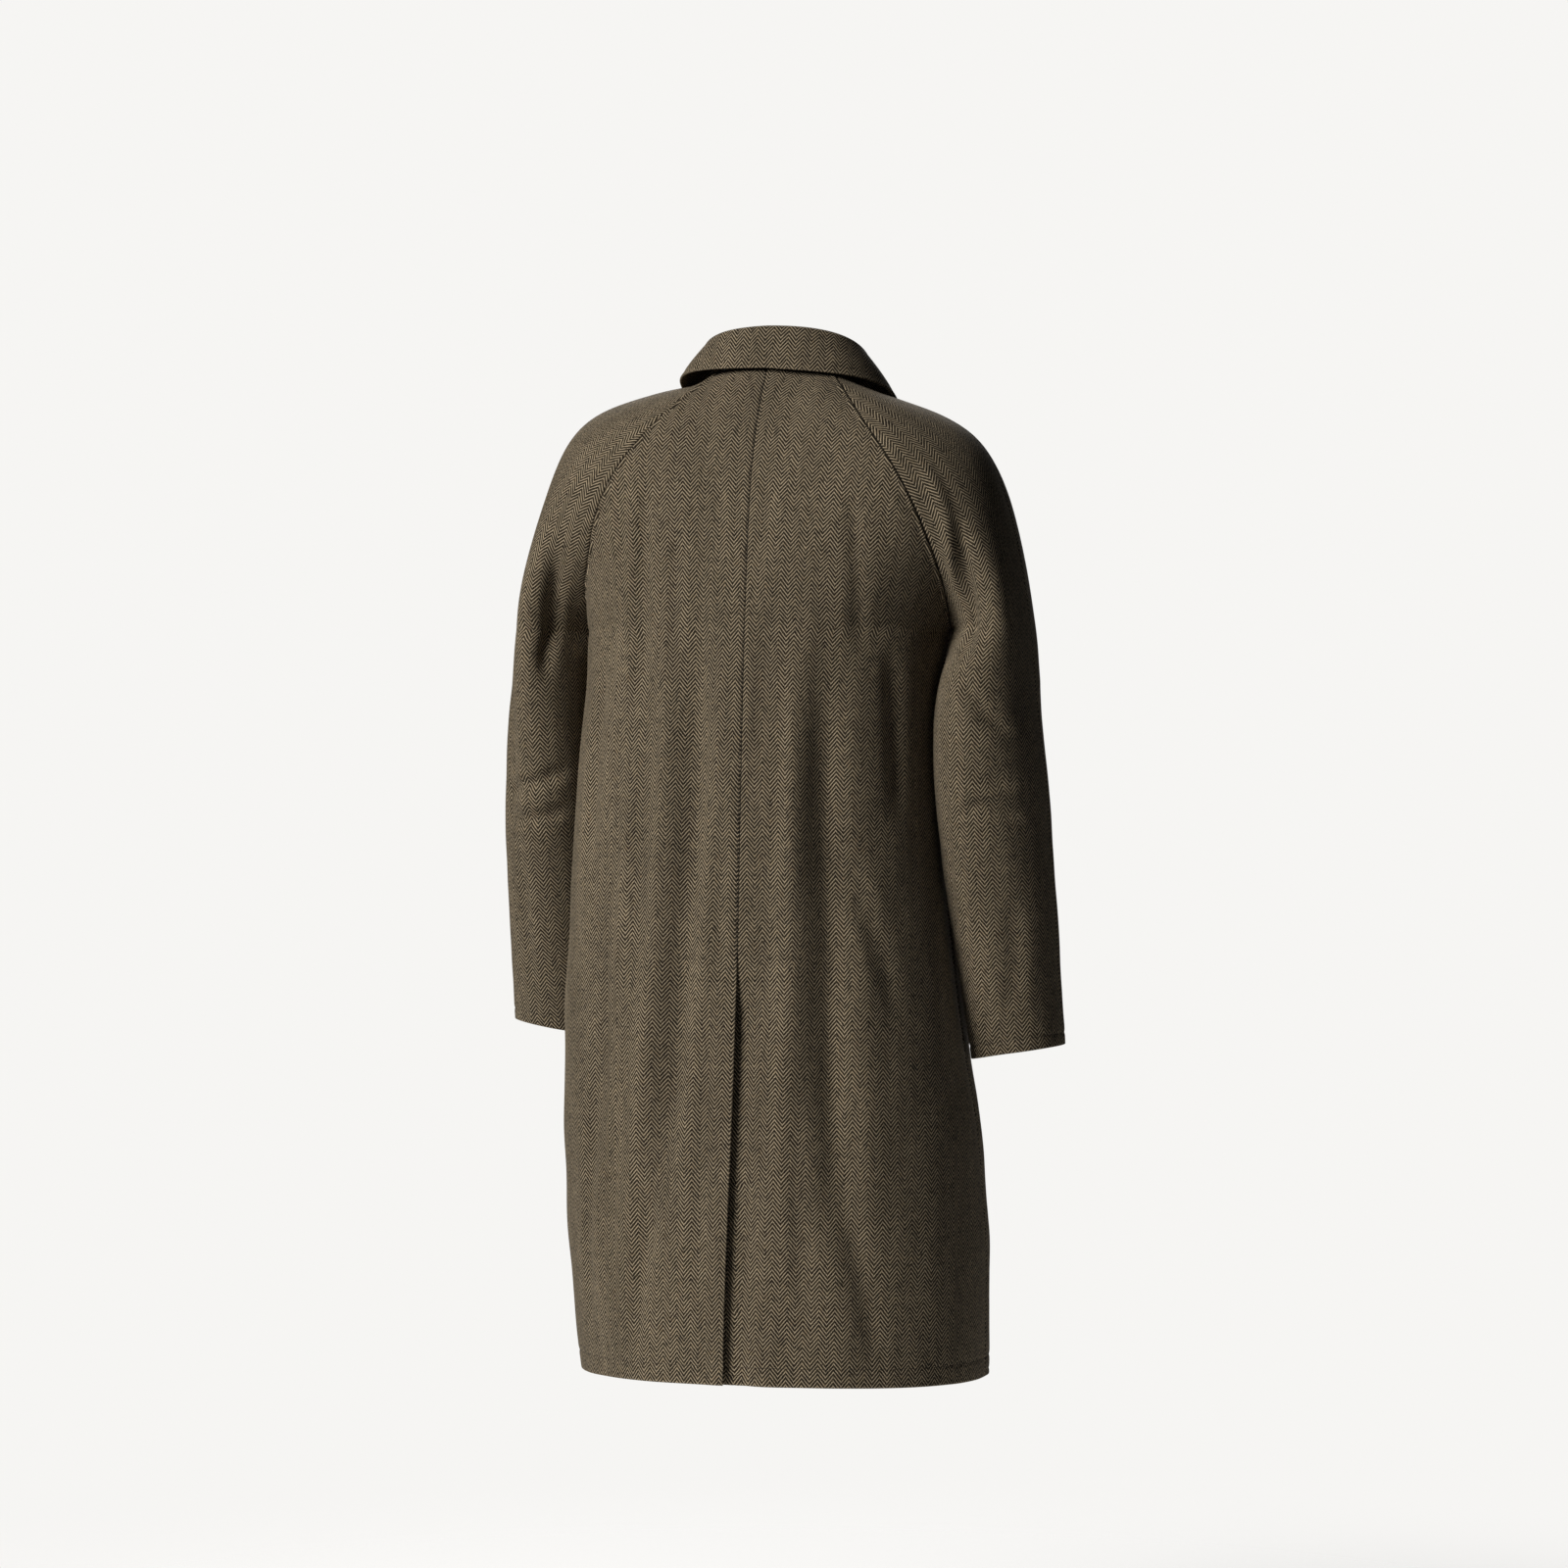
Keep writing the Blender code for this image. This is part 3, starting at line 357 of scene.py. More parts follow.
# On a sleeve the distance runs from the overarm line, positive towards the back.
SLEEVE_CREASES = {
    1: (
        (-0.007, 0.01, ((0.2, 0.12), (0.27, 0.112), (0.35, 0.12))),
        (-0.0045, 0.0085, ((0.43, 0.15), (0.452, 0.1), (0.462, 0.05))),
        (-0.004, 0.008, ((0.475, 0.145), (0.492, 0.1), (0.488, 0.055))),
        (-0.0035, 0.01, ((0.33, 0.06), (0.42, 0.075), (0.52, 0.06))),
        (-0.004, 0.009, ((0.3, -0.13), (0.34, -0.08), (0.36, -0.03))),
        (-0.004, 0.0085, ((0.42, -0.14), (0.445, -0.095), (0.45, -0.04))),
        (-0.0035, 0.009, ((0.5, -0.13), (0.48, -0.09), (0.49, -0.04))),
        (-0.003, 0.011, ((0.54, 0.08), (0.62, 0.07), (0.7, 0.075))),
    ),
    -1: (
        (-0.006, 0.01, ((0.18, 0.118), (0.25, 0.112), (0.33, 0.126))),
        (0.0035, 0.008, ((0.12, 0.12), (0.2, 0.128), (0.26, 0.132))),
        (-0.0055, 0.0085, ((0.33, 0.13), (0.375, 0.1), (0.4, 0.06))),
        (-0.005, 0.008, ((0.41, 0.14), (0.44, 0.105), (0.452, 0.06))),
        (-0.005, 0.008, ((0.48, 0.135), (0.47, 0.1), (0.49, 0.05))),
        (-0.004, 0.009, ((0.3, -0.13), (0.34, -0.08), (0.36, -0.03))),
        (-0.004, 0.0085, ((0.43, -0.14), (0.455, -0.095), (0.45, -0.04))),
        (-0.0035, 0.009, ((0.51, -0.13), (0.49, -0.09), (0.5, -0.04))),
        (-0.003, 0.011, ((0.56, 0.075), (0.64, 0.07), (0.71, 0.08))),
    ),
}
CREASE_SHOULDER = 0.30
CREASE_SHOULDER_WIDTH = 2.4
CREASE_END_SHARE = 0.28
SEAM_FADE = 0.022
WAVE_SEED = 11
WAVE_COUNT = 26
WAVE_HEIGHT = 0.00040

SEAM_ROLL = 0.0009
SEAM_ROLL_WIDTH = 0.0022
EDGE_ROUND = 0.0012
STITCH_GROOVE = 0.00085
STITCH_GROOVE_WIDTH = 0.0016
RAGLAN_PLUMP = 0.0012
PUCKER_HEIGHT = 0.00030
PUCKER_REACH = 0.010

TUBE_SIDES = 6
RIGHT = -1
LEFT = 1
WORDS = {LEFT: "left", RIGHT: "right"}
OUTWARD = np.array([[1.0, 0.0, 0.0]])
FORWARD = np.array([[0.0, -1.0, 0.0]])
POSE_SIGNS = np.array([1.0, -1.0, -1.0])


# Surfaces


def read_at(spots, run, values):
    """Values at the given lengths along a line whose own points lie at the lengths run."""
    return np.stack([np.interp(spots, run, line) for line in values.T], axis=-1)


def smooth(table, drops):
    """Values of a table at the given drops: straight runs, rounded over SOFTNESS."""
    rows = np.array(table, float)
    fine = np.linspace(rows[0, 0], rows[-1, 0], SAMPLES)
    values = read_at(fine, rows[:, 0], rows[:, 1:])
    reach = int(min(3 * SOFTNESS / (fine[1] - fine[0]), SAMPLES // 2))
    before = 2 * values[0] - values[reach:0:-1]
    after = 2 * values[-1] - values[-2:-reach - 2:-1]
    padded = np.concatenate([before, values, after])
    offsets = np.arange(-reach, reach + 1) * (fine[1] - fine[0])
    kernel = np.exp(-0.5 * (offsets / SOFTNESS) ** 2)
    kernel /= kernel.sum()
    soft = np.stack([np.convolve(line, kernel, "valid") for line in padded.T], axis=1)
    return read_at(drops, fine, soft)


def unit(vectors):
    """The same directions with length one."""
    return vectors / np.maximum(np.linalg.norm(vectors, axis=-1, keepdims=True), 1e-12)


def ramp(value, low, high):
    """0 below low, 1 above high, and a soft step between."""
    t = np.clip((value - low) / (high - low), 0.0, 1.0)
    return t * t * (3 - 2 * t)


def cubic(start, handle_a, handle_b, end, t):
    """Points of cubic curves; one curve for each row, t is one list or one for each row."""
    t = np.atleast_2d(np.asarray(t, float))[..., None]
    return (start[:, None] * (1 - t) ** 3 + 3 * handle_a[:, None] * t * (1 - t) ** 2
            + 3 * handle_b[:, None] * t * t * (1 - t) + end[:, None] * t ** 3)


def body_edge(table, side, drops):
    """The outer edge of a body panel: its raglan seam and then the side seam."""
    above = smooth(table, np.minimum(drops, UNDERARM_DROP))
    below = smooth(SIDE_SEAM, np.maximum(drops, UNDERARM_DROP))
    pose = smooth(SIDE_POSE[side], np.maximum(drops, UNDERARM_DROP))
    grown = ramp(drops, ARMHOLE_DROP, UNDERARM_DROP)[:, None] * pose
    edge = np.where(drops[:, None] < UNDERARM_DROP, above, below)
    edge[:, 0] += grown[:, 0]
    return edge, grown[:, 1:2]


def level(directions):
    """Directions in the level plane from their out and back parts."""
    flat = np.zeros((len(directions), 3))
    flat[:, :2] = directions
    return unit(flat)


def centre_line(rows):
    """Points of a centre line, whose depth and height are the first two columns."""
    return np.column_stack([np.zeros(len(rows)), rows[:, :2]])


def back_grid(side, drops, t):
    """A back panel as on the left: each row is a cubic from the centre back to the seam."""
    rows = smooth(BACK_ROWS, drops)
    edge, full = body_edge(BACK_RAGLAN, side, drops)
    centre = centre_line(rows)
    chord = np.linalg.norm(edge - centre, axis=1, keepdims=True)
    handle_a = centre + OUTWARD * (chord * rows[:, 4:5] + full * 0.5)
    handle_b = edge - level(rows[:, 2:4]) * chord * rows[:, 5:6] + OUTWARD * full
    return cubic(centre, handle_a, handle_b, edge, t)


def front_grid(side, drops, t):
    """A front panel as on the left: each row is a cubic from centre front to the seam."""
    rows = smooth(FRONT_ROWS, drops)
    edge = body_edge(FRONT_EDGE, side, drops)[0]
    centre = centre_line(rows)
    chord = np.linalg.norm(edge - centre, axis=1, keepdims=True)
    handle_a = centre + OUTWARD * chord * rows[:, 5:6]
    handle_b = edge + level(rows[:, 2:4]) * chord * rows[:, 4:5]
    return cubic(centre, handle_a, handle_b, edge, t)


def sleeve_lines(seam_table, rows_table, side, drops):
    """Seam line, overarm line and directions of one sleeve half, posed for its side."""
    above = smooth(seam_table, np.minimum(drops, UNDERARM_DROP))
    inner = smooth(ARM_INNER[side], np.maximum(drops, UNDERARM_DROP))
    below = smooth(UNDERARM, np.maximum(drops, UNDERARM_DROP))
    below = below + inner[:, :3] * POSE_SIGNS
    seam = np.where(drops[:, None] < UNDERARM_DROP, above, below)
    grown = ramp(drops, ARMHOLE_DROP, UNDERARM_DROP) * (drops < UNDERARM_DROP)
    seam[:, 0] += grown * SIDE_POSE[side][0][1]
    over = smooth(OVERARM, drops) + smooth(ARM_POSE[side], drops) * POSE_SIGNS
    rows = smooth(rows_table, drops)
    return seam, over, unit(rows[:, :3]), rows[:, 3:4], rows[:, 4:5], inner[:, 3:4]


def sleeve_back_grid(side, drops, t):
    """Back half of a sleeve: each row is a cubic from the inner seam to the overarm."""
    seam, over, leave, pull_seam, pull_over, lean = sleeve_lines(
        BACK_RAGLAN, SLEEVE_BACK_ROWS, side, drops)
    leave = leave - OUTWARD * lean
    return cubic(seam, seam + leave * pull_seam, over - FORWARD * pull_over, over, t)


def sleeve_front_grid(side, drops, t):
    """Front half of a sleeve: each row is a cubic from the overarm to the inner seam."""
    seam, over, leave, pull_seam, pull_over, _ = sleeve_lines(
        FRONT_EDGE, SLEEVE_FRONT_ROWS, side, drops)
    return cubic(over, over + FORWARD * pull_over, seam + leave * pull_seam, seam, t)


def normals_of(points, facing):
    """Outward normals: the cross product of the steps along and down a grid."""
    down = np.gradient(points, axis=0)
    along = np.gradient(points, axis=1)
    return unit(np.cross(along, down) * facing)


def mirrored(points, side):
    """The same points on the chosen side of the coat."""
    return points * np.array([side, 1.0, 1.0])


def run_along(points):
    """Length along each row of a grid, from its first point."""
    steps = np.linalg.norm(np.diff(points, axis=1), axis=2)
    return np.concatenate([np.zeros((len(points), 1)), np.cumsum(steps, axis=1)], axis=1)


def row_drops(low_rows, low_end, stitch):
    """Drops of the rows: even down to the underarm and the lower edge, closer at edges."""
    yoke = np.linspace(0.0, UNDERARM_DROP, YOKE_ROWS + 1)
    top = np.array(EDGE_STATIONS[1:4])
    rest = np.linspace(UNDERARM_DROP, low_end - stitch - 0.004, low_rows + 1)
    hem = low_end - stitch + np.array([-0.0015, 0.0, 0.0015, 0.004])
    edge = low_end - np.array(EDGE_STATIONS[::-1])
    between = np.linspace(hem[-1], edge[0], 4)[1:-1]
    return np.unique(np.concatenate([yoke, top, rest, hem, between, edge]).round(7))


def stations(grid, side, drops, near, far, count):
    """Row positions at the edge distances in near and far, and even between them."""
    fine = np.linspace(0.0, 1.0, SAMPLES)
    run = run_along(grid(side, drops, fine))
    near = np.array(near)
    far = np.array(far)
    out = []
    for line in run:
        middle = np.linspace(near[-1], line[-1] - far[-1], count + 1)[1:-1]
        spots = np.concatenate([near, middle, line[-1] - far[::-1]])
        out.append(np.interp(spots, line, fine))
    return np.array(out)


# Creases


def rounded_path(path):
    """A path with its corners cut twice at a quarter and three quarters of each run."""
    line = np.array(path, float)
    for _ in range(2):
        a = line[:-1] * 0.75 + line[1:] * 0.25
        b = line[:-1] * 0.25 + line[1:] * 0.75
        cut = np.stack([a, b], axis=1).reshape(-1, 2)
        line = np.concatenate([line[:1], cut, line[-1:]])
    return line


def crease_height(creases, drop, across):
    """Sum of creases: a bell across each path with low shoulders, faded at both ends."""
    total = np.zeros(across.shape)
    for height, width, path in creases:
        line = rounded_path(path)
        steps = np.diff(line, axis=0)
        lengths = np.linalg.norm(steps, axis=1)
        starts = np.concatenate([[0.0], np.cumsum(lengths)])
        best = np.full(across.shape, np.inf)
        part = np.zeros(across.shape)
        for origin, step, length, start in zip(line, steps, lengths, starts):
            t = ((drop - origin[0]) * step[0] + (across - origin[1]) * step[1]) / length ** 2
            t = np.clip(t, 0.0, 1.0)
            away = np.hypot(drop - origin[0] - t * step[0], across - origin[1] - t * step[1])
            nearer = away < best
            part = np.where(nearer, (start + t * length) / starts[-1], part)
            best = np.minimum(best, away)
        fade = ramp(part, 0.0, CREASE_END_SHARE) * (1 - ramp(part, 1 - CREASE_END_SHARE, 1.0))
        bell = np.exp(-(best / width) ** 2)
        bell -= CREASE_SHOULDER * np.exp(-(best / (width * CREASE_SHOULDER_WIDTH)) ** 2)
        total += height * fade * bell / (1 - CREASE_SHOULDER)
    return total


def wave_height(drop, across, seed):
    """Slight unevenness of hung cloth: a sum of long low waves in mixed directions."""
    rng = np.random.default_rng(seed)
    total = np.zeros(across.shape)
    for _ in range(WAVE_COUNT):
        length = rng.uniform(0.035, 0.140)
        turn = rng.normal(0.0, 0.55)
        start = rng.uniform(0.0, math.tau)
        phase = (across * math.cos(turn) + drop * math.sin(turn)) * math.tau / length
        total += np.sin(phase + start) * (length / 0.08)
    return total * WAVE_HEIGHT / math.sqrt(WAVE_COUNT / 2)


def pucker_height(drop, near, seed):
    """Small puckers along a sewn edge: uneven ripples that die away from the seam."""
    rng = np.random.default_rng(seed)
    total = np.zeros(drop.shape)
    for _ in range(8):
        length = rng.uniform(0.009, 0.030)
        total += np.sin(drop * math.tau / length + rng.uniform(0.0, math.tau))
    return total * 0.5 * PUCKER_HEIGHT * np.exp(-near / PUCKER_REACH) * ramp(near, 0.0, 0.003)


# Laying a panel flat


def even_picks(lengths, count):
    """Numbers of the lines that lie nearest to even steps of the length."""
    targets = np.linspace(lengths[0], lengths[-1], count)
    return np.unique(np.abs(lengths[:, None] - targets).argmin(axis=0))


def lay_flat(points, grain_column, slack_rows):
    """Place of every point in the flat cut: across the grain and down it.

    A coarse net starts from the lengths along the rows and down the grain line, at the
    angle at which each row leaves that line.  Then its threads and diagonals pull and
    push its knots until each has its worn length.
    """
    full = run_along(points)
    fall = run_along(points[:, grain_column][None])[0]
    pick_rows = even_picks(fall, NET_ROWS)
    pick_columns = even_picks(full.mean(axis=0), NET_COLUMNS)
    grain = int(np.argmin(np.abs(pick_columns - grain_column)))
    pick_columns[grain] = grain_column
    net = points[pick_rows][:, pick_columns]
    run = run_along(net)
    run = run - run[:, grain:grain + 1]
    line = net[:, grain]
    drop = np.concatenate([[0.0], np.cumsum(np.linalg.norm(np.diff(line, axis=0), axis=1))])
    down = unit(np.gradient(line, axis=0))
    end = -1 if run[:, -1].mean() > -run[:, 0].mean() else 0
    way = unit(net[:, end] - line) * (1 if end else -1)
    lean = np.clip((way * down).sum(axis=1), -0.9, 0.9)[:, None]
    flat = np.stack([run * np.sqrt(1 - lean ** 2), drop[:, None] + run * lean], axis=2)
    first = flat.copy()
    links = (
        (np.s_[:, 1:], np.s_[:, :-1]),
        (np.s_[1:, :], np.s_[:-1, :]),
        (np.s_[1:, 1:], np.s_[:-1, :-1]),
        (np.s_[1:, :-1], np.s_[:-1, 1:]),
    )
    lengths = [np.linalg.norm(net[a] - net[b], axis=2) for a, b in links]
    for _ in range(NET_STEPS):
        push = np.zeros_like(flat)
        share = np.zeros(flat.shape[:2] + (1,))
        for (a, b), length in zip(links, lengths):
            gap = flat[a] - flat[b]
            now = np.linalg.norm(gap, axis=2)
            pull = gap * ((length / np.maximum(now, 1e-9) - 1) * 0.5)[..., None]
            push[a] += pull
            push[b] -= pull
            share[a] += 1
            share[b] += 1
        flat += push / share * NET_PULL
    old = first[slack_rows:, grain]
    new = flat[slack_rows:, grain]
    a = (old - old.mean(axis=0)) @ np.array([1.0, 1j])
    b = (new - new.mean(axis=0)) @ np.array([1.0, 1j])
    turn = np.angle((np.conj(b) * a).sum())
    swing = (flat - new.mean(axis=0)) @ np.array([1.0, 1j]) * np.exp(1j * turn)
    flat = np.stack([swing.real, swing.imag], axis=2) + old.mean(axis=0)
    tall = np.stack([read_at(fall, fall[pick_rows], column)
                     for column in flat.transpose(1, 0, 2)], axis=1)
    return np.stack([read_at(lengths, lengths[pick_columns], row)
                     for lengths, row in zip(full, tall)])


# Panels


class Panel:
    """One cloth panel: its points, normals, wall and distances from its edges."""

    def __init__(self, points, facing, drops, across, seam, free):
        self.points = points
        self.facing = facing
        self.drops = np.broadcast_to(drops[:, None], points.shape[:2])
        self.across = across
        self.seam = seam
        self.free = free
        self.keep = np.ones((points.shape[0] - 1, points.shape[1] - 1), bool)
        self.relief = np.zeros(points.shape[:2])
        self.normals = normals_of(points, facing)
        self.shared = []
        self.centre = 0
        self.flat = None

    def face(self):
        """Outer face with its seams and stitch rows pressed in."""
        return self.points - self.normals * self.relief[..., None]


def edge_runs(points):
    """Distance of each point from the first and from the last line of its grid."""
    run = run_along(points)
    return run, run[:, -1:] - run


def back_shape(side, creased):
    """Outer face of one back panel with its creases; they die away at its outer seam."""
    drops = row_drops(SKIRT_ROWS, HEM_DROP, HEM_STITCH)
    t = stations(back_grid, side, drops, EDGE_STATIONS, EDGE_STATIONS, BACK_COLUMNS)
    points = mirrored(back_grid(side, drops, t), side)
    start, end = edge_runs(points)
    across = start * side
    drop = np.broadcast_to(drops[:, None], across.shape)
    height = crease_height(BACK_CREASES, drop, across) * creased
    height += wave_height(drop, across, WAVE_SEED) * ramp(start, 0.0, SEAM_FADE)
    height *= ramp(end, 0.0, SEAM_FADE)
    height += pucker_height(drop, end, WAVE_SEED + 1)
    height += pucker_height(drop, start, WAVE_SEED + 2)
    return drops, points + normals_of(points, side) * height[..., None], across


def vent_index(drops):
    """The row at which the vent opens."""
    return int(np.argmin(np.abs(drops - VENT_DROP)))


def back_panel(side, creased):
    """One back panel; the right one also carries the vent underlap."""
    drops, points, across = back_shape(side, creased)
    first = vent_index(drops)
    below = np.arange(len(drops)) >= first
    opened = ramp(drops, VENT_DROP, VENT_DROP + VENT_OPEN)[:, None]
    if side == LEFT:
        points[:, :, 0] += (VENT_SPREAD * ramp(drops, VENT_DROP, HEM_DROP)[:, None]
                            * (1 - ramp(np.abs(across), 0.0, VENT_SPREAD_REACH)))
        lift = VENT_LIFT * opened * (1 - ramp(np.abs(across), 0.0, VENT_LIFT_REACH))
        points = points + normals_of(points, side) * lift[..., None]
        start, end = edge_runs(points)
        seam = np.where(below[:, None], end, np.minimum(start, end))
        free = np.where(below[:, None], start, 1.0)
        return Panel(points, side, drops, across, seam, free)
    depth = CLOTH_WALL + LAP_CLEARANCE
    under = ramp(drops, VENT_DROP - VENT_TURN, VENT_DROP)[:, None]
    near = 1 - ramp(np.abs(across), VENT_SPREAD, VENT_LAP)
    sunk = depth * under * near
    sunk = sunk + VENT_SINK * opened * (1 - ramp(np.abs(across), *VENT_SINK_REACH))
    points = points - normals_of(points, side) * sunk[..., None]
    fine = np.linspace(0.0, VENT_LAP, UNDERLAP_COLUMNS + 1)[1:-1]
    fine = np.concatenate([fine, VENT_LAP - np.array(EDGE_STATIONS[3::-1])])
    fine = np.unique(fine.round(6))
    over, over_across = back_shape(LEFT, creased)[1:]
    lap, lap_normals = (
        np.stack([read_at(fine, run, line) for run, line in zip(over_across, values)])
        for values in (over, normals_of(over, LEFT)))
    lap_normals = unit(lap_normals)
    lap = (lap - lap_normals * (depth + VENT_SINK * opened)[..., None])[:, ::-1]
    lap_across = np.broadcast_to(fine[::-1], lap.shape[:2])
    grid = np.concatenate([lap, points], axis=1)
    wide = np.concatenate([lap_across, across], axis=1)
    columns = len(fine)
    start, end = edge_runs(grid)
    seam = np.where(below[:, None], end, np.minimum(np.abs(wide), end))
    free = np.where(below[:, None], start, 1.0)
    panel = Panel(grid, side, drops, wide, seam, free)
    panel.keep[:first, :columns] = False
    panel.centre = columns
    return panel


def front_panel(side, creased):
    """One front panel with its lap past the centre; the right one lies under the left."""
    drops = row_drops(SKIRT_ROWS, HEM_DROP, HEM_STITCH)
    own_t = stations(front_grid, side, drops, (0.0, 0.004, 0.008), EDGE_STATIONS, FRONT_COLUMNS)
    own = front_grid(side, drops, own_t)
    lap_near = np.unique(np.concatenate([
        FRONT_LAP - np.array(EDGE_STATIONS), np.linspace(0.002, 0.0145, 5)]))
    other_t = stations(front_grid, -side, drops, lap_near, (0.0, 0.01), 4)[:, :len(lap_near)]
    lap = mirrored(front_grid(-side, drops, other_t), -1)[:, ::-1]
    points = mirrored(np.concatenate([lap, own], axis=1), side)
    middle = len(lap_near)
    run = run_along(points)
    across = (run - run[:, middle:middle + 1]) * side
    start, end = edge_runs(points)
    drop = np.broadcast_to(drops[:, None], across.shape)
    height = crease_height(FRONT_CREASES, drop, across) * creased
    height += wave_height(drop, across, WAVE_SEED + 5)
    height *= ramp(end, 0.0, SEAM_FADE) * ramp(np.abs(across), 0.012, 0.040)
    height += pucker_height(drop, end, WAVE_SEED + 6)
    points = points + normals_of(points, -side) * height[..., None]
    if side == RIGHT:
        near = 1 - ramp(np.abs(across), FRONT_LAP, FRONT_LAP + LAP_EASE)
        near = np.where(across > 0, 1.0, near)
        depth = (CLOTH_WALL + LAP_CLEARANCE) * near
        points = points - normals_of(points, -side) * depth[..., None]
    return Panel(points, -side, drops, across, end, start)


def sleeve_panels(side, creased):
    """Back and front halves of one sleeve; creases run on over the overarm line."""
    drops = row_drops(ARM_ROWS, CUFF_DROP, CUFF_STITCH)
    halves = []
    for grid, is_back in ((sleeve_back_grid, True), (sleeve_front_grid, False)):
        t = stations(grid, side, drops, EDGE_STATIONS, EDGE_STATIONS, SLEEVE_COLUMNS)
        points = mirrored(grid(side, drops, t), side)
        start, end = edge_runs(points)
        across = end if is_back else -start
        inner = start if is_back else end
        drop = np.broadcast_to(drops[:, None], across.shape)
        height = crease_height(SLEEVE_CREASES[side], drop, across) * creased
        height += wave_height(drop, across, WAVE_SEED + 8 + side)
        height *= ramp(inner, 0.0, SEAM_FADE)
        height += pucker_height(drop, inner, WAVE_SEED + 12)
        points = points + normals_of(points, side) * height[..., None]
        seam = np.minimum(start, end)
        free = np.full(seam.shape, 1.0)
        halves.append(Panel(points, side, drops, across, seam, free))
    return halves


def join(first, rows_a, column_a, second, rows_b, column_b):
    """Sews two edges: they share a mean normal and stand apart by the seam gap."""
    a = first.points[rows_a, column_a]
    b = second.points[rows_b, column_b]
    middle = (a + b) / 2
    inner_a = column_a + (1 if column_a >= 0 else -1)
    inner_b = column_b + (1 if column_b >= 0 else -1)
    way = unit(first.points[rows_a, inner_a] - middle) - unit(
        second.points[rows_b, inner_b] - middle)
    away = unit(way) * SEAM_HALF_GAP
    first.points[rows_a, column_a] = middle + away
    second.points[rows_b, column_b] = middle - away
    mean = unit(first.normals[rows_a, column_a] + second.normals[rows_b, column_b])
    first.shared.append((rows_a, column_a, mean))
    second.shared.append((rows_b, column_b, mean))


def blend_normals(panel):
    """Turns the normals near each sewn edge softly towards the shared one."""
    run = run_along(panel.points)
    for rows, column, mean in panel.shared:
        near = np.abs(run[rows] - run[rows, column][:, None])
        weight = (1 - ramp(near, 0.0, 0.009))[..., None]
        mixed = panel.normals[rows] * (1 - weight) + mean[:, None] * weight
        panel.normals[rows] = unit(mixed)


def round_in(distance, radius):
    """How far a face sinks at an edge that is rounded with the radius."""
    t = np.clip(1 - distance / radius, 0.0, 1.0)
    return radius * (1 - np.sqrt(1 - t * t))


def groove(distance, depth):
    """A stitch row pressed into the cloth."""
    return depth * np.exp(-(distance / STITCH_GROOVE_WIDTH) ** 2)


def low_end(name):
    """Drop of a panel's lower edge, and how far above it the stitch row lies."""
    return (CUFF_DROP, CUFF_STITCH) if "sleeve" in name else (HEM_DROP, HEM_STITCH)


def relief_of(name, panel):
    """How far the outer face lies under the panel's form: seams, stitch rows and laps."""
    seam = panel.seam
    corner = ramp(np.abs(panel.drops - UNDERARM_DROP), 0.0, 0.025)
    sink = SEAM_ROLL * (1 - ramp(seam, 0.0, SEAM_ROLL_WIDTH)) * corner
    low, stitch = low_end(name)
    sink = sink + groove(low - panel.drops - stitch, STITCH_GROOVE)
    yoke = 1 - ramp(panel.drops, UNDERARM_DROP - 0.010, UNDERARM_DROP)
    if "sleeve" not in name:
        outer = edge_runs(panel.points)[1]
        plump = RAGLAN_PLUMP * ramp(outer, 0.0, 0.002) * (1 - ramp(outer, 0.0045, 0.0065))
        sink = sink + (groove(outer - SEAM_STITCH, STITCH_GROOVE) - plump) * yoke
    if name == "back_left":
        start = np.abs(panel.across)
        closed = 1 - ramp(panel.drops, VENT_DROP - 0.002, VENT_DROP)
        sink = sink + groove(start - CENTRE_STITCH, STITCH_GROOVE) * closed * 0.6
    if name.startswith("front"):
        sink = sink + groove(panel.free - SEAM_STITCH, STITCH_GROOVE)
    return sink


@lru_cache(maxsize=2)
def worn_panels(creased):
    """All body and sleeve panels, sewn together, with the relief of their outer faces."""
    panels = {}
    for side, word in WORDS.items():
        panels["back_" + word] = back_panel(side, creased)
        panels["front_" + word] = front_panel(side, creased)
        back, front = sleeve_panels(side, creased)
        panels["sleeve_back_" + word] = back
        panels["sleeve_front_" + word] = front
    body = row_drops(SKIRT_ROWS, HEM_DROP, HEM_STITCH)
    arm = row_drops(ARM_ROWS, CUFF_DROP, CUFF_STITCH)
    yoke = np.arange(int(np.searchsorted(body, UNDERARM_DROP)))
    side_rows = np.arange(len(yoke), len(body))
    arm_rows = np.arange(len(yoke), len(arm))
    vent = np.arange(vent_index(body))
    for word in WORDS.values():
        back = panels["back_" + word]
        front = panels["front_" + word]
        arm_back = panels["sleeve_back_" + word]
        arm_front = panels["sleeve_front_" + word]
        join(back, yoke, -1, arm_back, yoke, 0)
        join(front, yoke, -1, arm_front, yoke, -1)
        join(back, side_rows, -1, front, side_rows, -1)
        join(arm_back, arm_rows, 0, arm_front, arm_rows, -1)
        join(arm_back, np.arange(len(arm)), -1, arm_front, np.arange(len(arm)), 0)
    join(panels["back_left"], vent, 0, panels["back_right"], vent,
         panels["back_right"].centre)
    for name, panel in panels.items():
        blend_normals(panel)
        panel.free = np.minimum(panel.free, low_end(name)[0] - panel.drops)
        panel.relief = relief_of(name, panel)
        if name.startswith("back"):
            column = panel.centre
            slack = 0
        elif name.startswith("front"):
            column = int(np.argmin(np.abs(panel.across[0])))
            slack = 0
        else:
            column = panel.points.shape[1] - 1 if "back" in name else 0
            slack = NET_ROWS // 2
        panel.flat = lay_flat(panel.points, column, slack)
    return panels


# Meshes


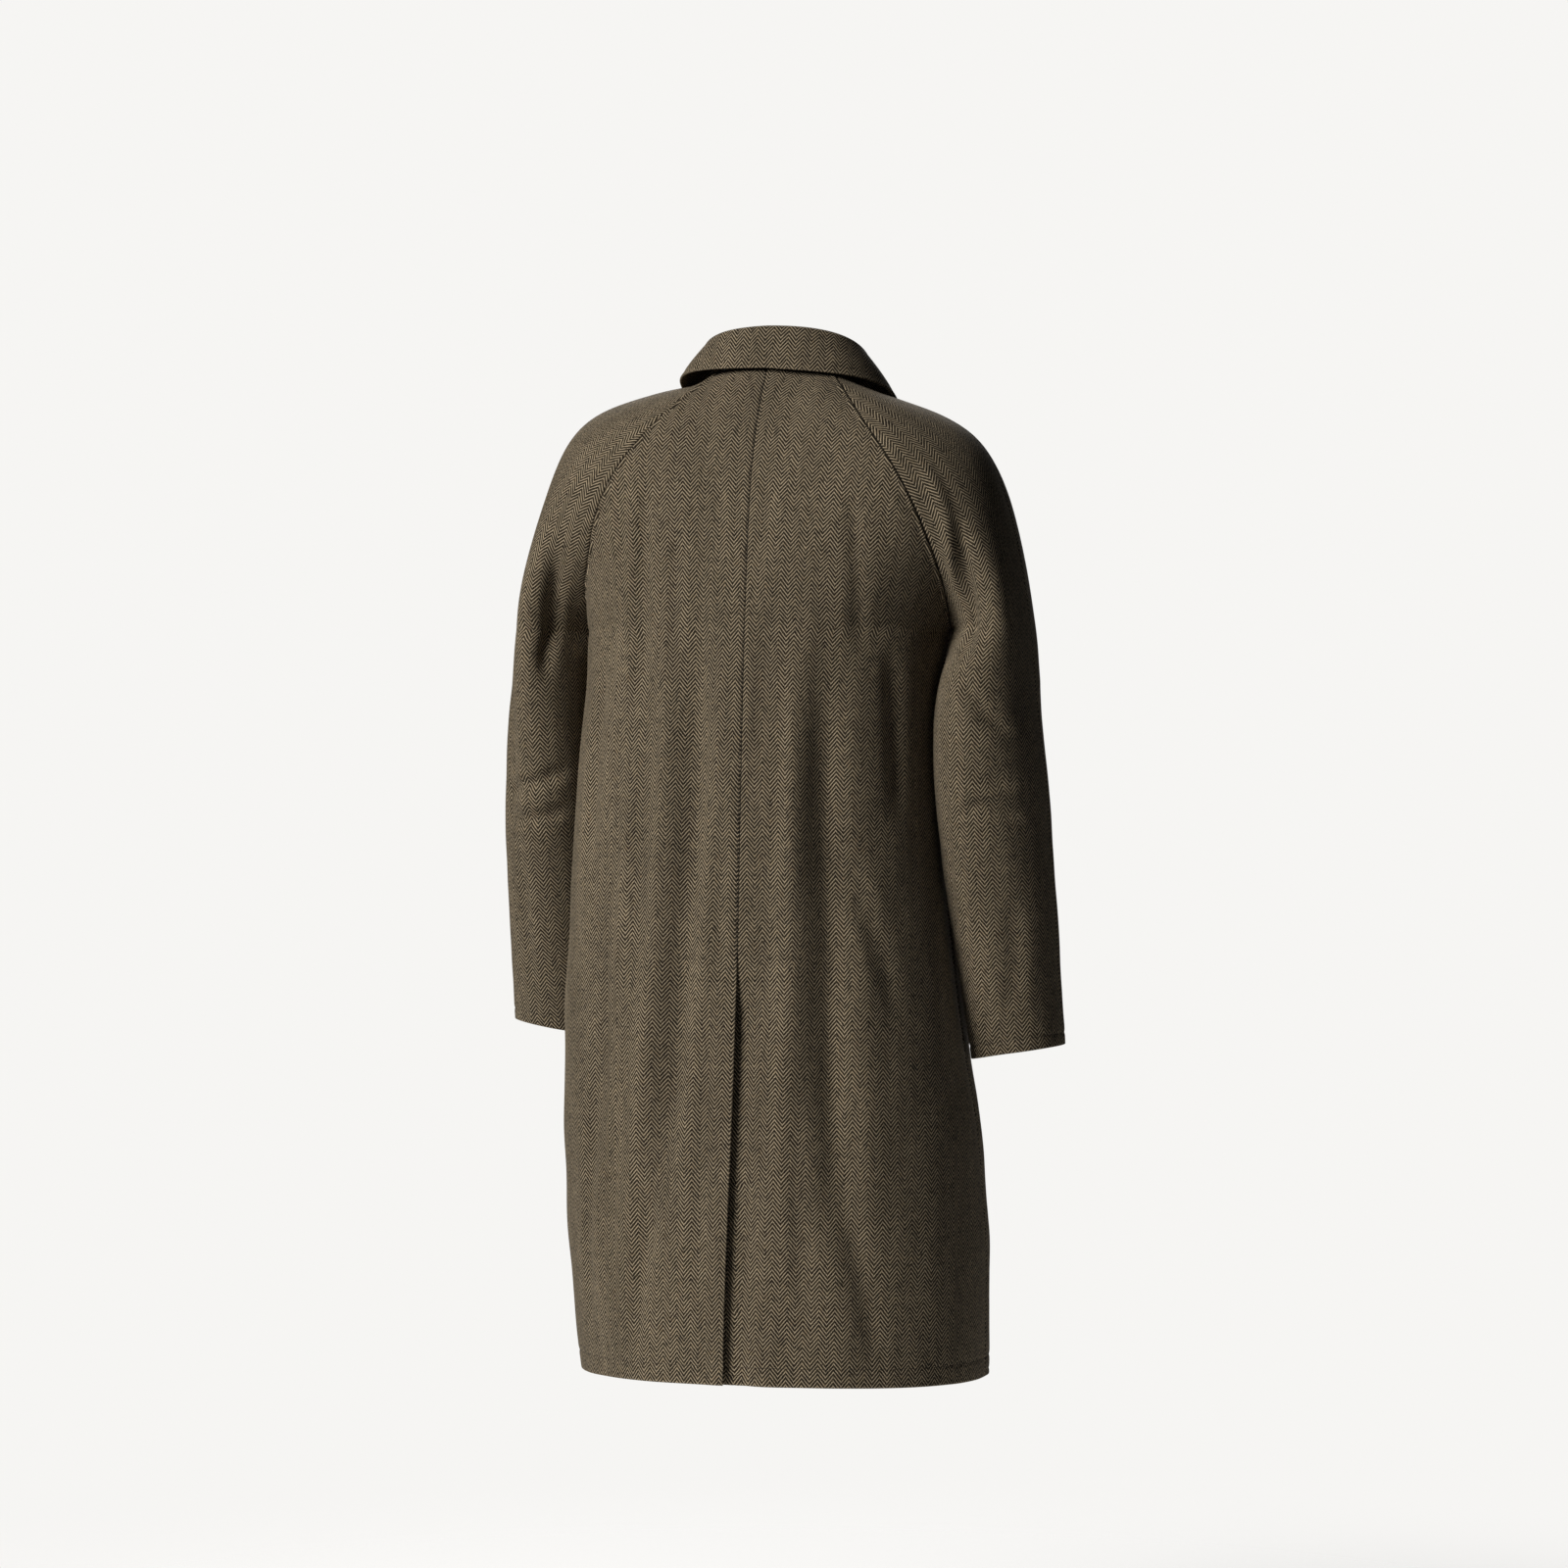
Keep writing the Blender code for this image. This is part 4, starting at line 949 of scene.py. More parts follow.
def new_object(name, points, faces, material, uv=None, marks=None):
    """A smooth mesh object in the scene from arrays of points and faces."""
    data = bpy.data.meshes.new(name)
    data.from_pydata(points.tolist(), [], faces)
    data.materials.append(material)
    data.shade_smooth()
    if uv is not None:
        corner = np.zeros(len(data.loops), np.int32)
        data.loops.foreach_get("vertex_index", corner)
        layer = data.uv_layers.new(name="cloth")
        layer.data.foreach_set("uv", uv[corner].astype(np.float32).ravel())
    for key, value in (marks or {}).items():
        layer = data.attributes.new(key, "FLOAT", "POINT")
        layer.data.foreach_set("value", value.astype(np.float32))
    obj = bpy.data.objects.new(name, data)
    bpy.context.scene.collection.objects.link(obj)
    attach(obj, "root")
    return obj


def cloth_shell(name, outer, inner, facing, keep, material, flat, marks):
    """A closed wall of cloth: outer face, inner face and the rim between them.

    The faces are laid out here because the two faces have their own relief, which a
    thickness modifier on one open panel can't give.
    """
    rows, columns = outer.shape[:2]
    top = np.arange(rows * columns).reshape(rows, columns)
    under = top + rows * columns
    if keep is None:
        keep = np.ones((rows - 1, columns - 1), bool)
    frame_cells = np.pad(keep, 1)
    middle = frame_cells[1:-1, 1:-1]
    strips = (
        ((top[:-1, :-1], top[:-1, 1:], top[1:, 1:], top[1:, :-1]), keep),
        ((under[:-1, :-1], under[1:, :-1], under[1:, 1:], under[:-1, 1:]), keep),
        ((top[:-1, :-1], under[:-1, :-1], under[:-1, 1:], top[:-1, 1:]),
         middle & ~frame_cells[:-2, 1:-1]),
        ((top[1:, :-1], top[1:, 1:], under[1:, 1:], under[1:, :-1]),
         middle & ~frame_cells[2:, 1:-1]),
        ((top[:-1, :-1], top[1:, :-1], under[1:, :-1], under[:-1, :-1]),
         middle & ~frame_cells[1:-1, :-2]),
        ((top[:-1, 1:], under[:-1, 1:], under[1:, 1:], top[1:, 1:]),
         middle & ~frame_cells[1:-1, 2:]),
    )
    faces = np.concatenate([
        np.stack(corners, axis=-1)[chosen].reshape(-1, 4)[:, ::facing]
        for corners, chosen in strips])
    used = np.unique(faces)
    place = np.concatenate([outer.reshape(-1, 3), inner.reshape(-1, 3)])
    number = np.zeros(len(place), int)
    number[used] = np.arange(len(used))
    both = np.concatenate([flat.reshape(-1, 2)] * 2)
    marks = {key: np.concatenate([value.ravel()] * 2)[used] for key, value in marks.items()}
    return new_object(name, place[used], number[faces].tolist(), material,
                      both[used], marks)


def panel_shell(name, panel, material):
    """The closed shell of one sewn panel: rounded where an edge is free."""
    sunk = round_in(panel.free, EDGE_ROUND)
    outer = panel.points - panel.normals * (panel.relief + sunk)[..., None]
    inner = panel.points - panel.normals * (CLOTH_WALL - sunk)[..., None]
    # 'sewn' gives each point its distance from a sewn edge, along which the tweed paints shade;
    # 'edge' gives its distance from a free edge, near which the tweed is a little lighter.
    return cloth_shell("cloth_" + name, outer, inner, panel.facing, panel.keep,
                       material, panel.flat, {"edge": panel.free, "sewn": panel.seam})


def tube_faces(rings, sides):
    """Faces of a closed tube of rings with a pole at each end."""
    index = np.arange(rings * sides).reshape(rings, sides)
    turn = np.roll(index, -1, axis=1)
    quads = np.stack([index[:-1], turn[:-1], turn[1:], index[1:]], axis=-1).reshape(-1, 4)
    first = rings * sides
    low = [[first, b, a] for a, b in zip(index[0], turn[0])]
    high = [[first + 1, a, b] for a, b in zip(index[-1], turn[-1])]
    return [list(map(int, face)) for face in quads.tolist() + low + high]


def stitch_row(path, normals, pitch, length, width):
    """Frames of stitches laid end to end along a path: middles, ways and normals."""
    steps = np.linalg.norm(np.diff(path, axis=0), axis=1)
    run = np.concatenate([[0.0], np.cumsum(steps)])
    count = max(1, int((run[-1] - length) / pitch))
    spots = (run[-1] - pitch * (count - 1)) / 2 + pitch * np.arange(count)
    at = read_at(spots, run, path)
    way = unit(read_at(spots + 0.001, run, path) - read_at(spots - 0.001, run, path))
    out = unit(read_at(spots, run, normals))
    out = unit(out - way * (out * way).sum(axis=1, keepdims=True))
    return at, way, out, np.full(count, length), np.full(count, width)


def stitch_mesh(name, frames, material):
    """All stitches of a group: each is a short rounded bar, thin at its two ends."""
    at, way, out, length, width = (np.concatenate(part) for part in zip(*frames))
    side = np.cross(out, way)
    shape = ((-0.46, 0.55), (-0.25, 1.0), (0.25, 1.0), (0.46, 0.55))
    angle = np.arange(TUBE_SIDES) * math.tau / TUBE_SIDES
    rings = []
    for along, wide in shape:
        ring = (at[:, None] + way[:, None] * (along * length)[:, None, None]
                + side[:, None] * (np.cos(angle)[None, :, None]
                                   * (wide * width / 2)[:, None, None])
                + out[:, None] * (np.sin(angle)[None, :, None] * 0.8
                                  * (wide * width / 2)[:, None, None]))
        rings.append(ring)
    body = np.stack(rings, axis=1).reshape(len(at), -1, 3)
    low = (at - way * (0.5 * length)[:, None])[:, None]
    high = (at + way * (0.5 * length)[:, None])[:, None]
    points = np.concatenate([body, low, high], axis=1)
    each = points.shape[1]
    pattern = tube_faces(len(shape), TUBE_SIDES)
    quads = np.array([face for face in pattern if len(face) == 4])
    tris = np.array([face for face in pattern if len(face) == 3])
    shift = (np.arange(len(at)) * each)[:, None, None]
    faces = (quads[None] + shift).reshape(-1, 4).tolist()
    faces += (tris[None] + shift).reshape(-1, 3).tolist()
    return new_object(name, points.reshape(-1, 3), faces, material)


# Materials


class Wire:
    """An output socket; arithmetic on it adds Math nodes to its material."""

    def __init__(self, bench, socket):
        self.bench = bench
        self.socket = socket

    def __add__(self, other):
        return self.bench.maths("ADD", self, other)

    __radd__ = __add__

    def __sub__(self, other):
        return self.bench.maths("SUBTRACT", self, other)

    def __rsub__(self, other):
        return self.bench.maths("SUBTRACT", other, self)

    def __mul__(self, other):
        return self.bench.maths("MULTIPLY", self, other)

    __rmul__ = __mul__

    def __truediv__(self, other):
        return self.bench.maths("DIVIDE", self, other)


class Bench:
    """One material and its nodes."""

    def __init__(self, name, roughness):
        self.material = bpy.data.materials.new(name)
        self.material.use_nodes = True
        self.tree = self.material.node_tree
        self.shader = self.tree.nodes["Principled BSDF"]
        self.set("Roughness", roughness)

    def set(self, socket, value):
        """Sets a socket of the shader to a constant or links a wire to it."""
        self.plug(self.shader.inputs[socket], value)

    def plug(self, socket, value):
        """Links a wire to a socket, or sets the socket's value."""
        if isinstance(value, Wire):
            self.tree.links.new(value.socket, socket)
        else:
            socket.default_value = value

    def node(self, kind, settings, sockets, output=0):
        """Adds a node: its type, its settings, then its sockets; gives one output."""
        node = self.tree.nodes.new(kind)
        for key, value in settings.items():
            if key == "stops":
                for stop, (place, colour) in zip(node.color_ramp.elements, value):
                    stop.position = place
                    stop.color = colour
            else:
                setattr(node, key, value)
        for key, value in sockets.items():
            self.plug(node.inputs[key], value)
        return Wire(self, node.outputs[output])

    def maths(self, operation, a, b=0.0):
        """A Math node on two values."""
        return self.node("ShaderNodeMath", {"operation": operation}, {0: a, 1: b})

    def noise(self, vector, scale, detail=2.0, rough=0.5):
        """A noise value between 0 and 1."""
        return self.node("ShaderNodeTexNoise", {}, {
            "Vector": vector, "Scale": scale, "Detail": detail, "Roughness": rough})

    def step(self, value, low, high):
        """0 below low, 1 above high, and a soft step between."""
        return self.node("ShaderNodeMapRange", {"interpolation_type": "SMOOTHSTEP"}, {
            "Value": value, "From Min": low, "From Max": high})

    def blend(self, factor, a, b, kind="MIX"):
        """A colour between a and b."""
        return self.node("ShaderNodeMix", {"data_type": "RGBA", "blend_type": kind}, {
            0: factor, 6: a, 7: b}, 2)

    def bump(self, height, strength, distance):
        """A surface normal from a height."""
        return self.node("ShaderNodeBump", {}, {
            "Strength": strength, "Distance": distance, "Height": height})


def opaque(colour):
    """A colour with its alpha."""
    return (*colour, 1.0)


def tweed_material(name, cloth, tone):
    """Herringbone tweed.

    Twill lines rise across each half column and fall across the next, so their height is
    the drop less a triangle wave of the distance across.  Light and dark yarns change
    slowly along their length, and a few flecks of other colours lie among them.  Painted
    shade lies in the colour too: long vertical streaks stand for the shade in hanging folds,
    and a dark line along each sewn edge stands for the shade in the seam.  Within a few
    millimetres of a free edge the colour is a little lighter.
    """
    bench = Bench(name, 0.93)
    uv = bench.node("ShaderNodeUVMap", {"uv_map": "cloth"}, {})
    u = bench.node("ShaderNodeSeparateXYZ", {}, {0: uv})
    v = bench.node("ShaderNodeSeparateXYZ", {}, {0: uv}, 1)
    column = u / cloth.half_column
    swing = bench.maths("PINGPONG", column, 1.0)
    parity = bench.maths("MODULO", bench.maths("FLOOR", bench.maths("ABSOLUTE", column)), 2.0)
    wander = bench.noise(uv, 38.0, 2.0) - 0.5
    tilt = v / cloth.twill_pitch + swing * (cloth.twill_rise / cloth.twill_pitch)
    line = bench.maths("FRACT", tilt + parity * 0.22 + wander * 0.50 + 100.0)
    wave = bench.maths("ABSOLUTE", line - 0.5) * 2.0
    ends = bench.node("ShaderNodeCombineXYZ", {}, {0: u * 950.0, 1: v * 70.0})
    picks = bench.node("ShaderNodeCombineXYZ", {}, {0: u * 90.0, 1: v * 900.0})
    end_tone = bench.noise(ends, 1.0, 2.0)
    pick_tone = bench.noise(picks, 1.0, 2.0)
    grain = bench.noise(uv, 1250.0, 2.0, 0.6)
    slub = bench.noise(uv, 160.0, 3.0, 0.6)
    width = wave + (grain - 0.5) * 0.80 + (slub - 0.5) * 0.80
    light = bench.step(width, 0.58, 0.96)
    depth = bench.noise(uv, 7.0, 3.0)
    # Painted shade of the hanging folds: a noise drawn out down the cloth gives long vertical
    # streaks of shade.
    fold_shade_space = bench.node("ShaderNodeCombineXYZ", {}, {0: u * 34.0, 1: v * 4.5})
    streak = bench.noise(fold_shade_space, 1.0, 3.0, 0.55)
    patchy = bench.noise(uv, 85.0, 2.0, 0.6)
    pale = bench.blend(bench.step(slub, 0.35, 0.70), opaque(cloth.light_yarn),
                       opaque(cloth.warm_yarn))
    dark = bench.blend(bench.step(end_tone, 0.40, 0.66), opaque(cloth.dark_yarn),
                       opaque(cloth.mid_yarn))
    cells = bench.node("ShaderNodeTexVoronoi", {"feature": "F1"}, {
        "Vector": uv, "Scale": 230.0, "Randomness": 1.0}, 1)
    pick = bench.node("ShaderNodeSeparateXYZ", {}, {0: cells})
    hue = bench.node("ShaderNodeSeparateXYZ", {}, {0: cells}, 1)
    fleck = bench.step(pick, 0.90, 0.96) * bench.step(grain, 0.42, 0.60) * light
    tint = bench.node("ShaderNodeValToRGB", {"stops": (
        (0.0, opaque(cloth.olive_fleck)), (1.0, opaque(cloth.rust_fleck)))}, {0: hue})
    mixed = bench.blend(light, dark, pale)
    mixed = bench.blend(fleck * 0.50, mixed, tint)
    shade = (0.60 + end_tone * 0.40 + pick_tone * 0.40) * (0.80 + depth * 0.40) * tone
    # Painted fold shade: the vertical streaks scale the colour between 0.58 and 1.42.
    shade = shade * (0.58 + streak * 0.84) * (0.72 + patchy * 0.56)
    near = bench.node("ShaderNodeAttribute", {"attribute_name": "edge"}, {}, 2)
    # Lighter near free edges: within about 3 mm of a free edge, up to 8 % of the light yarn
    # colour is mixed in.
    edge_lightening = (1 - bench.step(near, 0.0004, 0.0026)) * 0.08
    # Painted shade in the seams: within about 1 mm of a sewn edge the colour falls to 22 %, for
    # the shade in the seam gap.
    sewn = bench.node("ShaderNodeAttribute", {"attribute_name": "sewn"}, {}, 2)
    shade = shade * (0.22 + bench.step(sewn, 0.0002, 0.0014) * 0.78)
    colour = bench.blend(1.0, mixed, bench.node(
        "ShaderNodeCombineColor", {}, {0: shade, 1: shade, 2: shade}), "MULTIPLY")
    # Mixes in the lighter colour near free edges.
    colour = bench.blend(edge_lightening, colour, opaque(cloth.light_yarn))
    bench.set("Base Color", colour)
    bench.set("Roughness", 0.90 + grain * 0.10)
    bench.set("Sheen Weight", 0.10)
    bench.set("Sheen Roughness", 0.45)
    bench.set("Sheen Tint", (0.80, 0.70, 0.55, 1.0))
    bench.set("Specular IOR Level", 0.18)
    height = light * 0.55 + grain * 0.35 + end_tone * 0.10
    bench.set("Normal", bench.bump(height, 0.55, 0.0005))
    return bench.material


def thread_material(name, colour):
    """Sewing thread: dark, slightly uneven, with a twist."""
    bench = Bench(name, 0.75)
    place = bench.node("ShaderNodeTexCoord", {}, {}, 3)
    cloudy = bench.noise(place, 420.0, 2.0)
    bench.set("Base Color", bench.blend(cloudy, opaque(colour),
                                        opaque([part * 1.8 for part in colour])))
    bench.set("Normal", bench.bump(bench.noise(place, 2600.0, 1.0), 0.4, 0.0002))
    return bench.material


def horn_material(name, buttons):
    """Polished horn: streaks of two browns drawn out across the button."""
    bench = Bench(name, 0.28)
    place = bench.node("ShaderNodeTexCoord", {}, {}, 3)
    drawn = bench.node("ShaderNodeMapping", {}, {"Vector": place, "Scale": (60.0, 60.0, 420.0),
                                                 "Rotation": (0.0, 0.5, 0.3)})
    streak = bench.noise(drawn, 1.6, 5.0, 0.62)
    colour = bench.node("ShaderNodeValToRGB", {"stops": (
        (0.36, opaque(buttons.dark_horn)), (0.70, opaque(buttons.light_horn)))}, {0: streak})
    bench.set("Base Color", colour)
    bench.set("Roughness", 0.24 + streak * 0.16)
    bench.set("Coat Weight", 0.25)
    bench.set("Normal", bench.bump(bench.noise(place, 900.0, 2.0), 0.10, 0.0002))
    return bench.material


# Sizes and colours that a user may change


def length_setting(name, description, value):
    """A length that a user may change."""
    return FloatProperty(name=name, description=description, default=value, unit="LENGTH")


def number_setting(name, description, value):
    """A plain number that a user may change."""
    return FloatProperty(name=name, description=description, default=value)


def colour_setting(name, description, value):
    """A colour that a user may change."""
    return FloatVectorProperty(name=name, description=description, default=value,
                               subtype="COLOR")


class CoatCloth(bpy.types.PropertyGroup):
    """Tweed and drape."""

    half_column: length_setting(
        "Half column", "Width of one run of twill between two points", 0.0083)
    twill_pitch: length_setting("Twill pitch", "Height from one twill line to the next", 0.0046)
    twill_rise: length_setting("Twill rise", "How far a line rises across a half column", 0.0102)
    creases: number_setting("Creases", "Share of the full depth of the creases", 1.0)
    light_yarn: colour_setting("Light yarn", "Colour of the light yarn", (0.560, 0.465, 0.330))
    warm_yarn: colour_setting(
        "Warm yarn", "Second colour of the light yarn", (0.330, 0.262, 0.172))
    dark_yarn: colour_setting("Dark yarn", "Colour of the dark yarn", (0.0120, 0.0088, 0.0050))
    mid_yarn: colour_setting("Mid yarn", "Second colour of the dark yarn", (0.046, 0.035, 0.0205))
    olive_fleck: colour_setting("Olive fleck", "Colour of a fleck", (0.120, 0.115, 0.050))
    rust_fleck: colour_setting("Rust fleck", "Colour of a fleck", (0.200, 0.105, 0.050))


class CoatSewing(bpy.types.PropertyGroup):
    """Stitches."""

    pitch: length_setting("Pitch", "From one stitch to the next", 0.0041)
    length: length_setting("Length", "Length of a stitch", 0.0029)
    width: length_setting("Width", "Width of the thread", 0.00075)
    thread: colour_setting("Thread", "Colour of the thread", (0.018, 0.012, 0.007))


class CoatButtons(bpy.types.PropertyGroup):
    """Horn buttons."""

    radius: length_setting("Radius", "Radius of a button", 0.0125)
    thickness: length_setting("Thickness", "Thickness at the rim", 0.0042)
    hole: length_setting("Hole", "Radius of a sewing hole", 0.0011)
    dark_horn: colour_setting("Dark horn", "Dark streaks of the horn", (0.022, 0.011, 0.005))
    light_horn: colour_setting("Light horn", "Light streaks of the horn", (0.150, 0.078, 0.034))


class CoatStudio(bpy.types.PropertyGroup):
    """Studio."""

    distance: length_setting("Camera distance", "From the camera to the coat", 4.6)
    azimuth: number_setting(
        "Camera azimuth", "Turn round the coat from the front, in degrees", 196.0)
    floor_drop: length_setting("Floor", "Depth of the floor below the neck", 1.50)
    floor_reach: length_setting("Floor reach", "Radius at which the floor has faded out", 1.9)
    key_power: number_setting("Key light", "Power of the key light in watts", 222.0)
    front_power: number_setting("Front light", "Power of the light on the front in watts", 90.0)
    world_light: number_setting("Room light", "Strength of the even room light", 0.035)
    backdrop: colour_setting("Backdrop", "Colour of the backdrop", (0.922, 0.914, 0.896))


# Operators


class COAT_OT_body(bpy.types.Operator):
    """Builds the two back panels and the two front panels"""

    bl_idname = "coat.body"
    bl_label = "Body panels"

    def execute(self, context):
        cloth = context.scene.coat_cloth
        tweed = tweed_material("herringbone_tweed_body", cloth, 1.0)
        panels = worn_panels(cloth.creases)
        for name in ("back_left", "back_right", "front_left", "front_right"):
            obj = panel_shell(name, panels[name], tweed)
            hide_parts(name)
        return {"FINISHED"}


class COAT_OT_sleeves(bpy.types.Operator):
    """Builds the back and front halves of both sleeves"""

    bl_idname = "coat.sleeves"
    bl_label = "Sleeves"

    def execute(self, context):
        cloth = context.scene.coat_cloth
        tweed = tweed_material("herringbone_tweed_sleeves", cloth, 1.0)
        panels = worn_panels(cloth.creases)
        for half in ("sleeve_back", "sleeve_front"):
            for word in WORDS.values():
                name = half + "_" + word
                obj = panel_shell(name, panels[name], tweed)
                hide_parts(name)
        return {"FINISHED"}


def collar_line(name, t):
    """One collar line from the right front end round the back to the left front end."""
    start, handle_a, handle_b, end = (np.array([p], float) for p in COLLAR_LINES[name])
    half = cubic(start, handle_a, handle_b, end, t)[0]
    return np.concatenate([mirrored(half[:0:-1], -1), half])


def neckline(t):
    """The top edge of all panels, from the right front round the back to the left one."""
    drops = np.zeros(1)
    fine = np.linspace(0.0, 1.0, SAMPLES)
    lines = [back_grid(1, drops, fine)[0], sleeve_back_grid(1, drops, fine)[0][1:],
             sleeve_front_grid(1, drops, fine)[0][1:], front_grid(1, drops, fine)[0][-2::-1]]
    half = np.concatenate(lines)
    run = run_along(half[None])[0]
    last = np.interp(-COLLAR_END, -half[::-1, 0][:200], run[::-1][:200])
    at = t * last
    half = read_at(at, run, half)
    return np.concatenate([mirrored(half[:0:-1], -1), half])


def leaf_surface(root, edge):
    """Outer face of the collar leaf: up from its root, round the roll, down to its edge."""
    out = unit((edge - root) * np.array([1.0, 1.0, 0.0]))
    up = np.array([0.0, 0.0, 1.0])
    centre = root + up * LEAF_RISE + out * ROLL_RADIUS
    rows = [root, root + up * LEAF_RISE * 0.5]
    for angle in np.linspace(math.pi, ROLL_END, ROLL_ROWS + 1):
        rows.append(centre + (out * math.cos(angle) + up * math.sin(angle)) * ROLL_RADIUS)
    turned = rows[-1]
    length = np.linalg.norm(edge - turned, axis=1, keepdims=True)
    parts = [np.full_like(length, p) for p in np.linspace(0.0, 0.72, FALL_ROWS + 1)[1:]]
    parts += [1 - s / length for s in EDGE_STATIONS[::-1] if s < 0.0085]
    for part in parts:
        bow = out * LEAF_BOW * np.sin(math.pi * part)
        rows.append(turned + (edge - turned) * part + bow)
    return np.stack(rows)


def collar_flat(points):
    """Flat place of collar points: along the middle row and down the columns."""
    middle = points.shape[1] // 2
    run = run_along(points)
    run = run - run[:, middle:middle + 1]
    down = run_along(points.transpose(1, 0, 2)).T
    return np.stack([run, down], axis=2)


def collar_shell(name, points, normals, edge, press, wall, material):
    """The closed shell of one collar piece, rounded at its free edges."""
    sunk = round_in(edge, EDGE_ROUND)[..., None]
    # 'sewn' lies 1 m off on the collar, so the collar gets no painted seam shade.
    return cloth_shell("cloth_collar_" + name, points - normals * (sunk + press),
                       points - normals * (wall - sunk), 1, None, material,
                       collar_flat(points), {"edge": edge, "sewn": edge + 1.0})


class COAT_OT_collar(bpy.types.Operator):
    """Builds the collar stand and the turned-down leaf"""

    bl_idname = "coat.collar"
    bl_label = "Collar"

    def execute(self, context):
        cloth = context.scene.coat_cloth
        tweed = tweed_material("herringbone_tweed_collar", cloth, 0.98)
        even = np.linspace(0.0, 1.0, COLLAR_HALF_COLUMNS + 1)
        t = np.unique(np.concatenate([even, 1 - np.array(EDGE_STATIONS[1:5]) / 0.21]))
        seam = neckline(t) + np.array([0.0, 0.0, NECK_SEAM_GAP])
        top = collar_line("stand_top", t)
        mix = np.linspace(0.0, 1.0, STAND_ROWS + 1)[:, None, None]
        stand = top[None] * (1 - mix) + seam[None] * mix
        normals = normals_of(stand, 1)
        normals[0] = unit(normals[0] * np.array([1.0, 1.0, 0.0]))
        edge = np.minimum(*edge_runs(stand))
        obj = collar_shell("stand", stand, normals, edge, 0.0, CLOTH_WALL, tweed)
        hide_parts("collar_stand")
        root = top - normals[0] * LEAF_STEP + np.array([0.0, 0.0, LEAF_GAP])
        hem = collar_line("leaf_edge", t)
        hem[:, 2] += hem[:, 0] * LEAF_TILT
        leaf = leaf_surface(root, hem)
        leaf_normals = normals_of(leaf, 1)
        leaf_normals[0] = -normals[0]
        down = run_along(leaf.transpose(1, 0, 2)).T
        edge = np.minimum(np.minimum(*edge_runs(leaf)), down[-1:] - down)
        press = groove(edge - SEAM_STITCH, STITCH_GROOVE)[..., None] * 0.5
        obj = collar_shell("leaf", leaf, leaf_normals, edge, press, COLLAR_WALL, tweed)
        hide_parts("collar_fall")
        return {"FINISHED"}


def between(panel, distance, from_end, rows):
    """A line on a panel's outer face at a fixed distance from its first or last column."""
    marks = np.array(EDGE_STATIONS)
    k = int(np.searchsorted(marks, distance + 1e-9)) - 1
    f = (distance - marks[k]) / (marks[k + 1] - marks[k])
    a, b = (-1 - k, -2 - k) if from_end else (k, k + 1)
    face = panel.face()
    line = face[rows, a] * (1 - f) + face[rows, b] * f
    return line, panel.normals[rows, a]


def on_face(values, across, row, distance):
    """Values of a panel's grid at a row, between two lines, and a distance across."""
    low = int(row)
    f = row - low
    a, b = (read_at(distance, across[r], values[r]) for r in (low, low + 1))
    return a * (1 - f) + b * f


class COAT_OT_sewing(bpy.types.Operator):
    """Sews the stitch rows of the seams, hem, cuffs, vent and fronts"""

    bl_idname = "coat.sewing"
    bl_label = "Stitch rows"

    def execute(self, context):
        sewing = context.scene.coat_sewing
        panels = worn_panels(context.scene.coat_cloth.creases)
        thread = thread_material("dark_thread", sewing.thread)
        body = row_drops(SKIRT_ROWS, HEM_DROP, HEM_STITCH)
        under = int(np.searchsorted(body, UNDERARM_DROP))
        vent = vent_index(body)
        groups = {"raglans": [], "centre_back": [], "hem": [], "cuffs": [], "fronts": [],
                  "vent": []}

        def sew(group, line):
            path, normals = line
            groups[group].append(stitch_row(path, normals, sewing.pitch, sewing.length,
                                            sewing.width))

        for name, panel in panels.items():
            low, stitch = low_end(name)
            row = int(np.argmin(np.abs(panel.drops[:, 0] - (low - stitch))))
            edge = "cuffs" if "sleeve" in name else "hem"
            sew(edge, (panel.face()[row], panel.normals[row]))
            if edge == "hem":
                sew("raglans", between(panel, SEAM_STITCH, True, np.arange(3, under - 2)))
            if name.startswith("front"):
                sew("fronts", between(panel, SEAM_STITCH, False, np.arange(2, len(body) - 6)))
        left = panels["back_left"]
        sew("centre_back", between(left, CENTRE_STITCH, False, np.arange(2, vent)))
        along = np.linspace(0.0, 1.0, VENT_STITCH_POINTS)
        rows = np.interp(VENT_DROP + VENT_SLANT * along, body, np.arange(len(body)))
        sew("vent", [np.array([on_face(values, left.across, row, VENT_LAP * part)
                               for row, part in zip(rows, along)])
                     for values in (left.face(), left.normals)])
        for name, frames in groups.items():
            obj = stitch_mesh("stitches_" + name, frames, thread)
        return {"FINISHED"}


class COAT_OT_buttons(bpy.types.Operator):
    """Makes the four horn buttons on the left front"""

    bl_idname = "coat.buttons"
    bl_label = "Buttons"

    def execute(self, context):
        buttons = context.scene.coat_buttons
        horn = horn_material("polished_horn", buttons)
        drops = np.array(BUTTON_DROPS)
        here = front_grid(1, drops, [0.0])[:, 0]
        slope = (front_grid(1, drops + buttons.radius, [0.0])[:, 0]
                 - front_grid(1, drops - buttons.radius, [0.0])[:, 0])
        for number, (place, fall) in enumerate(zip(here, slope), start=1):
            outward = unit(np.array([0.0, fall[2], -fall[1]]))
            points = button_points(buttons, place, outward)
            rings, sides = points.shape[:2]
            flat = points.reshape(-1, 3)
            ends = np.stack([points[0].mean(axis=0), points[-1].mean(axis=0)])
            name = "button_" + str(number)
            obj = new_object("horn_" + name, np.concatenate([flat, ends]),
                             tube_faces(rings, sides), horn)
            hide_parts(name)
        return {"FINISHED"}


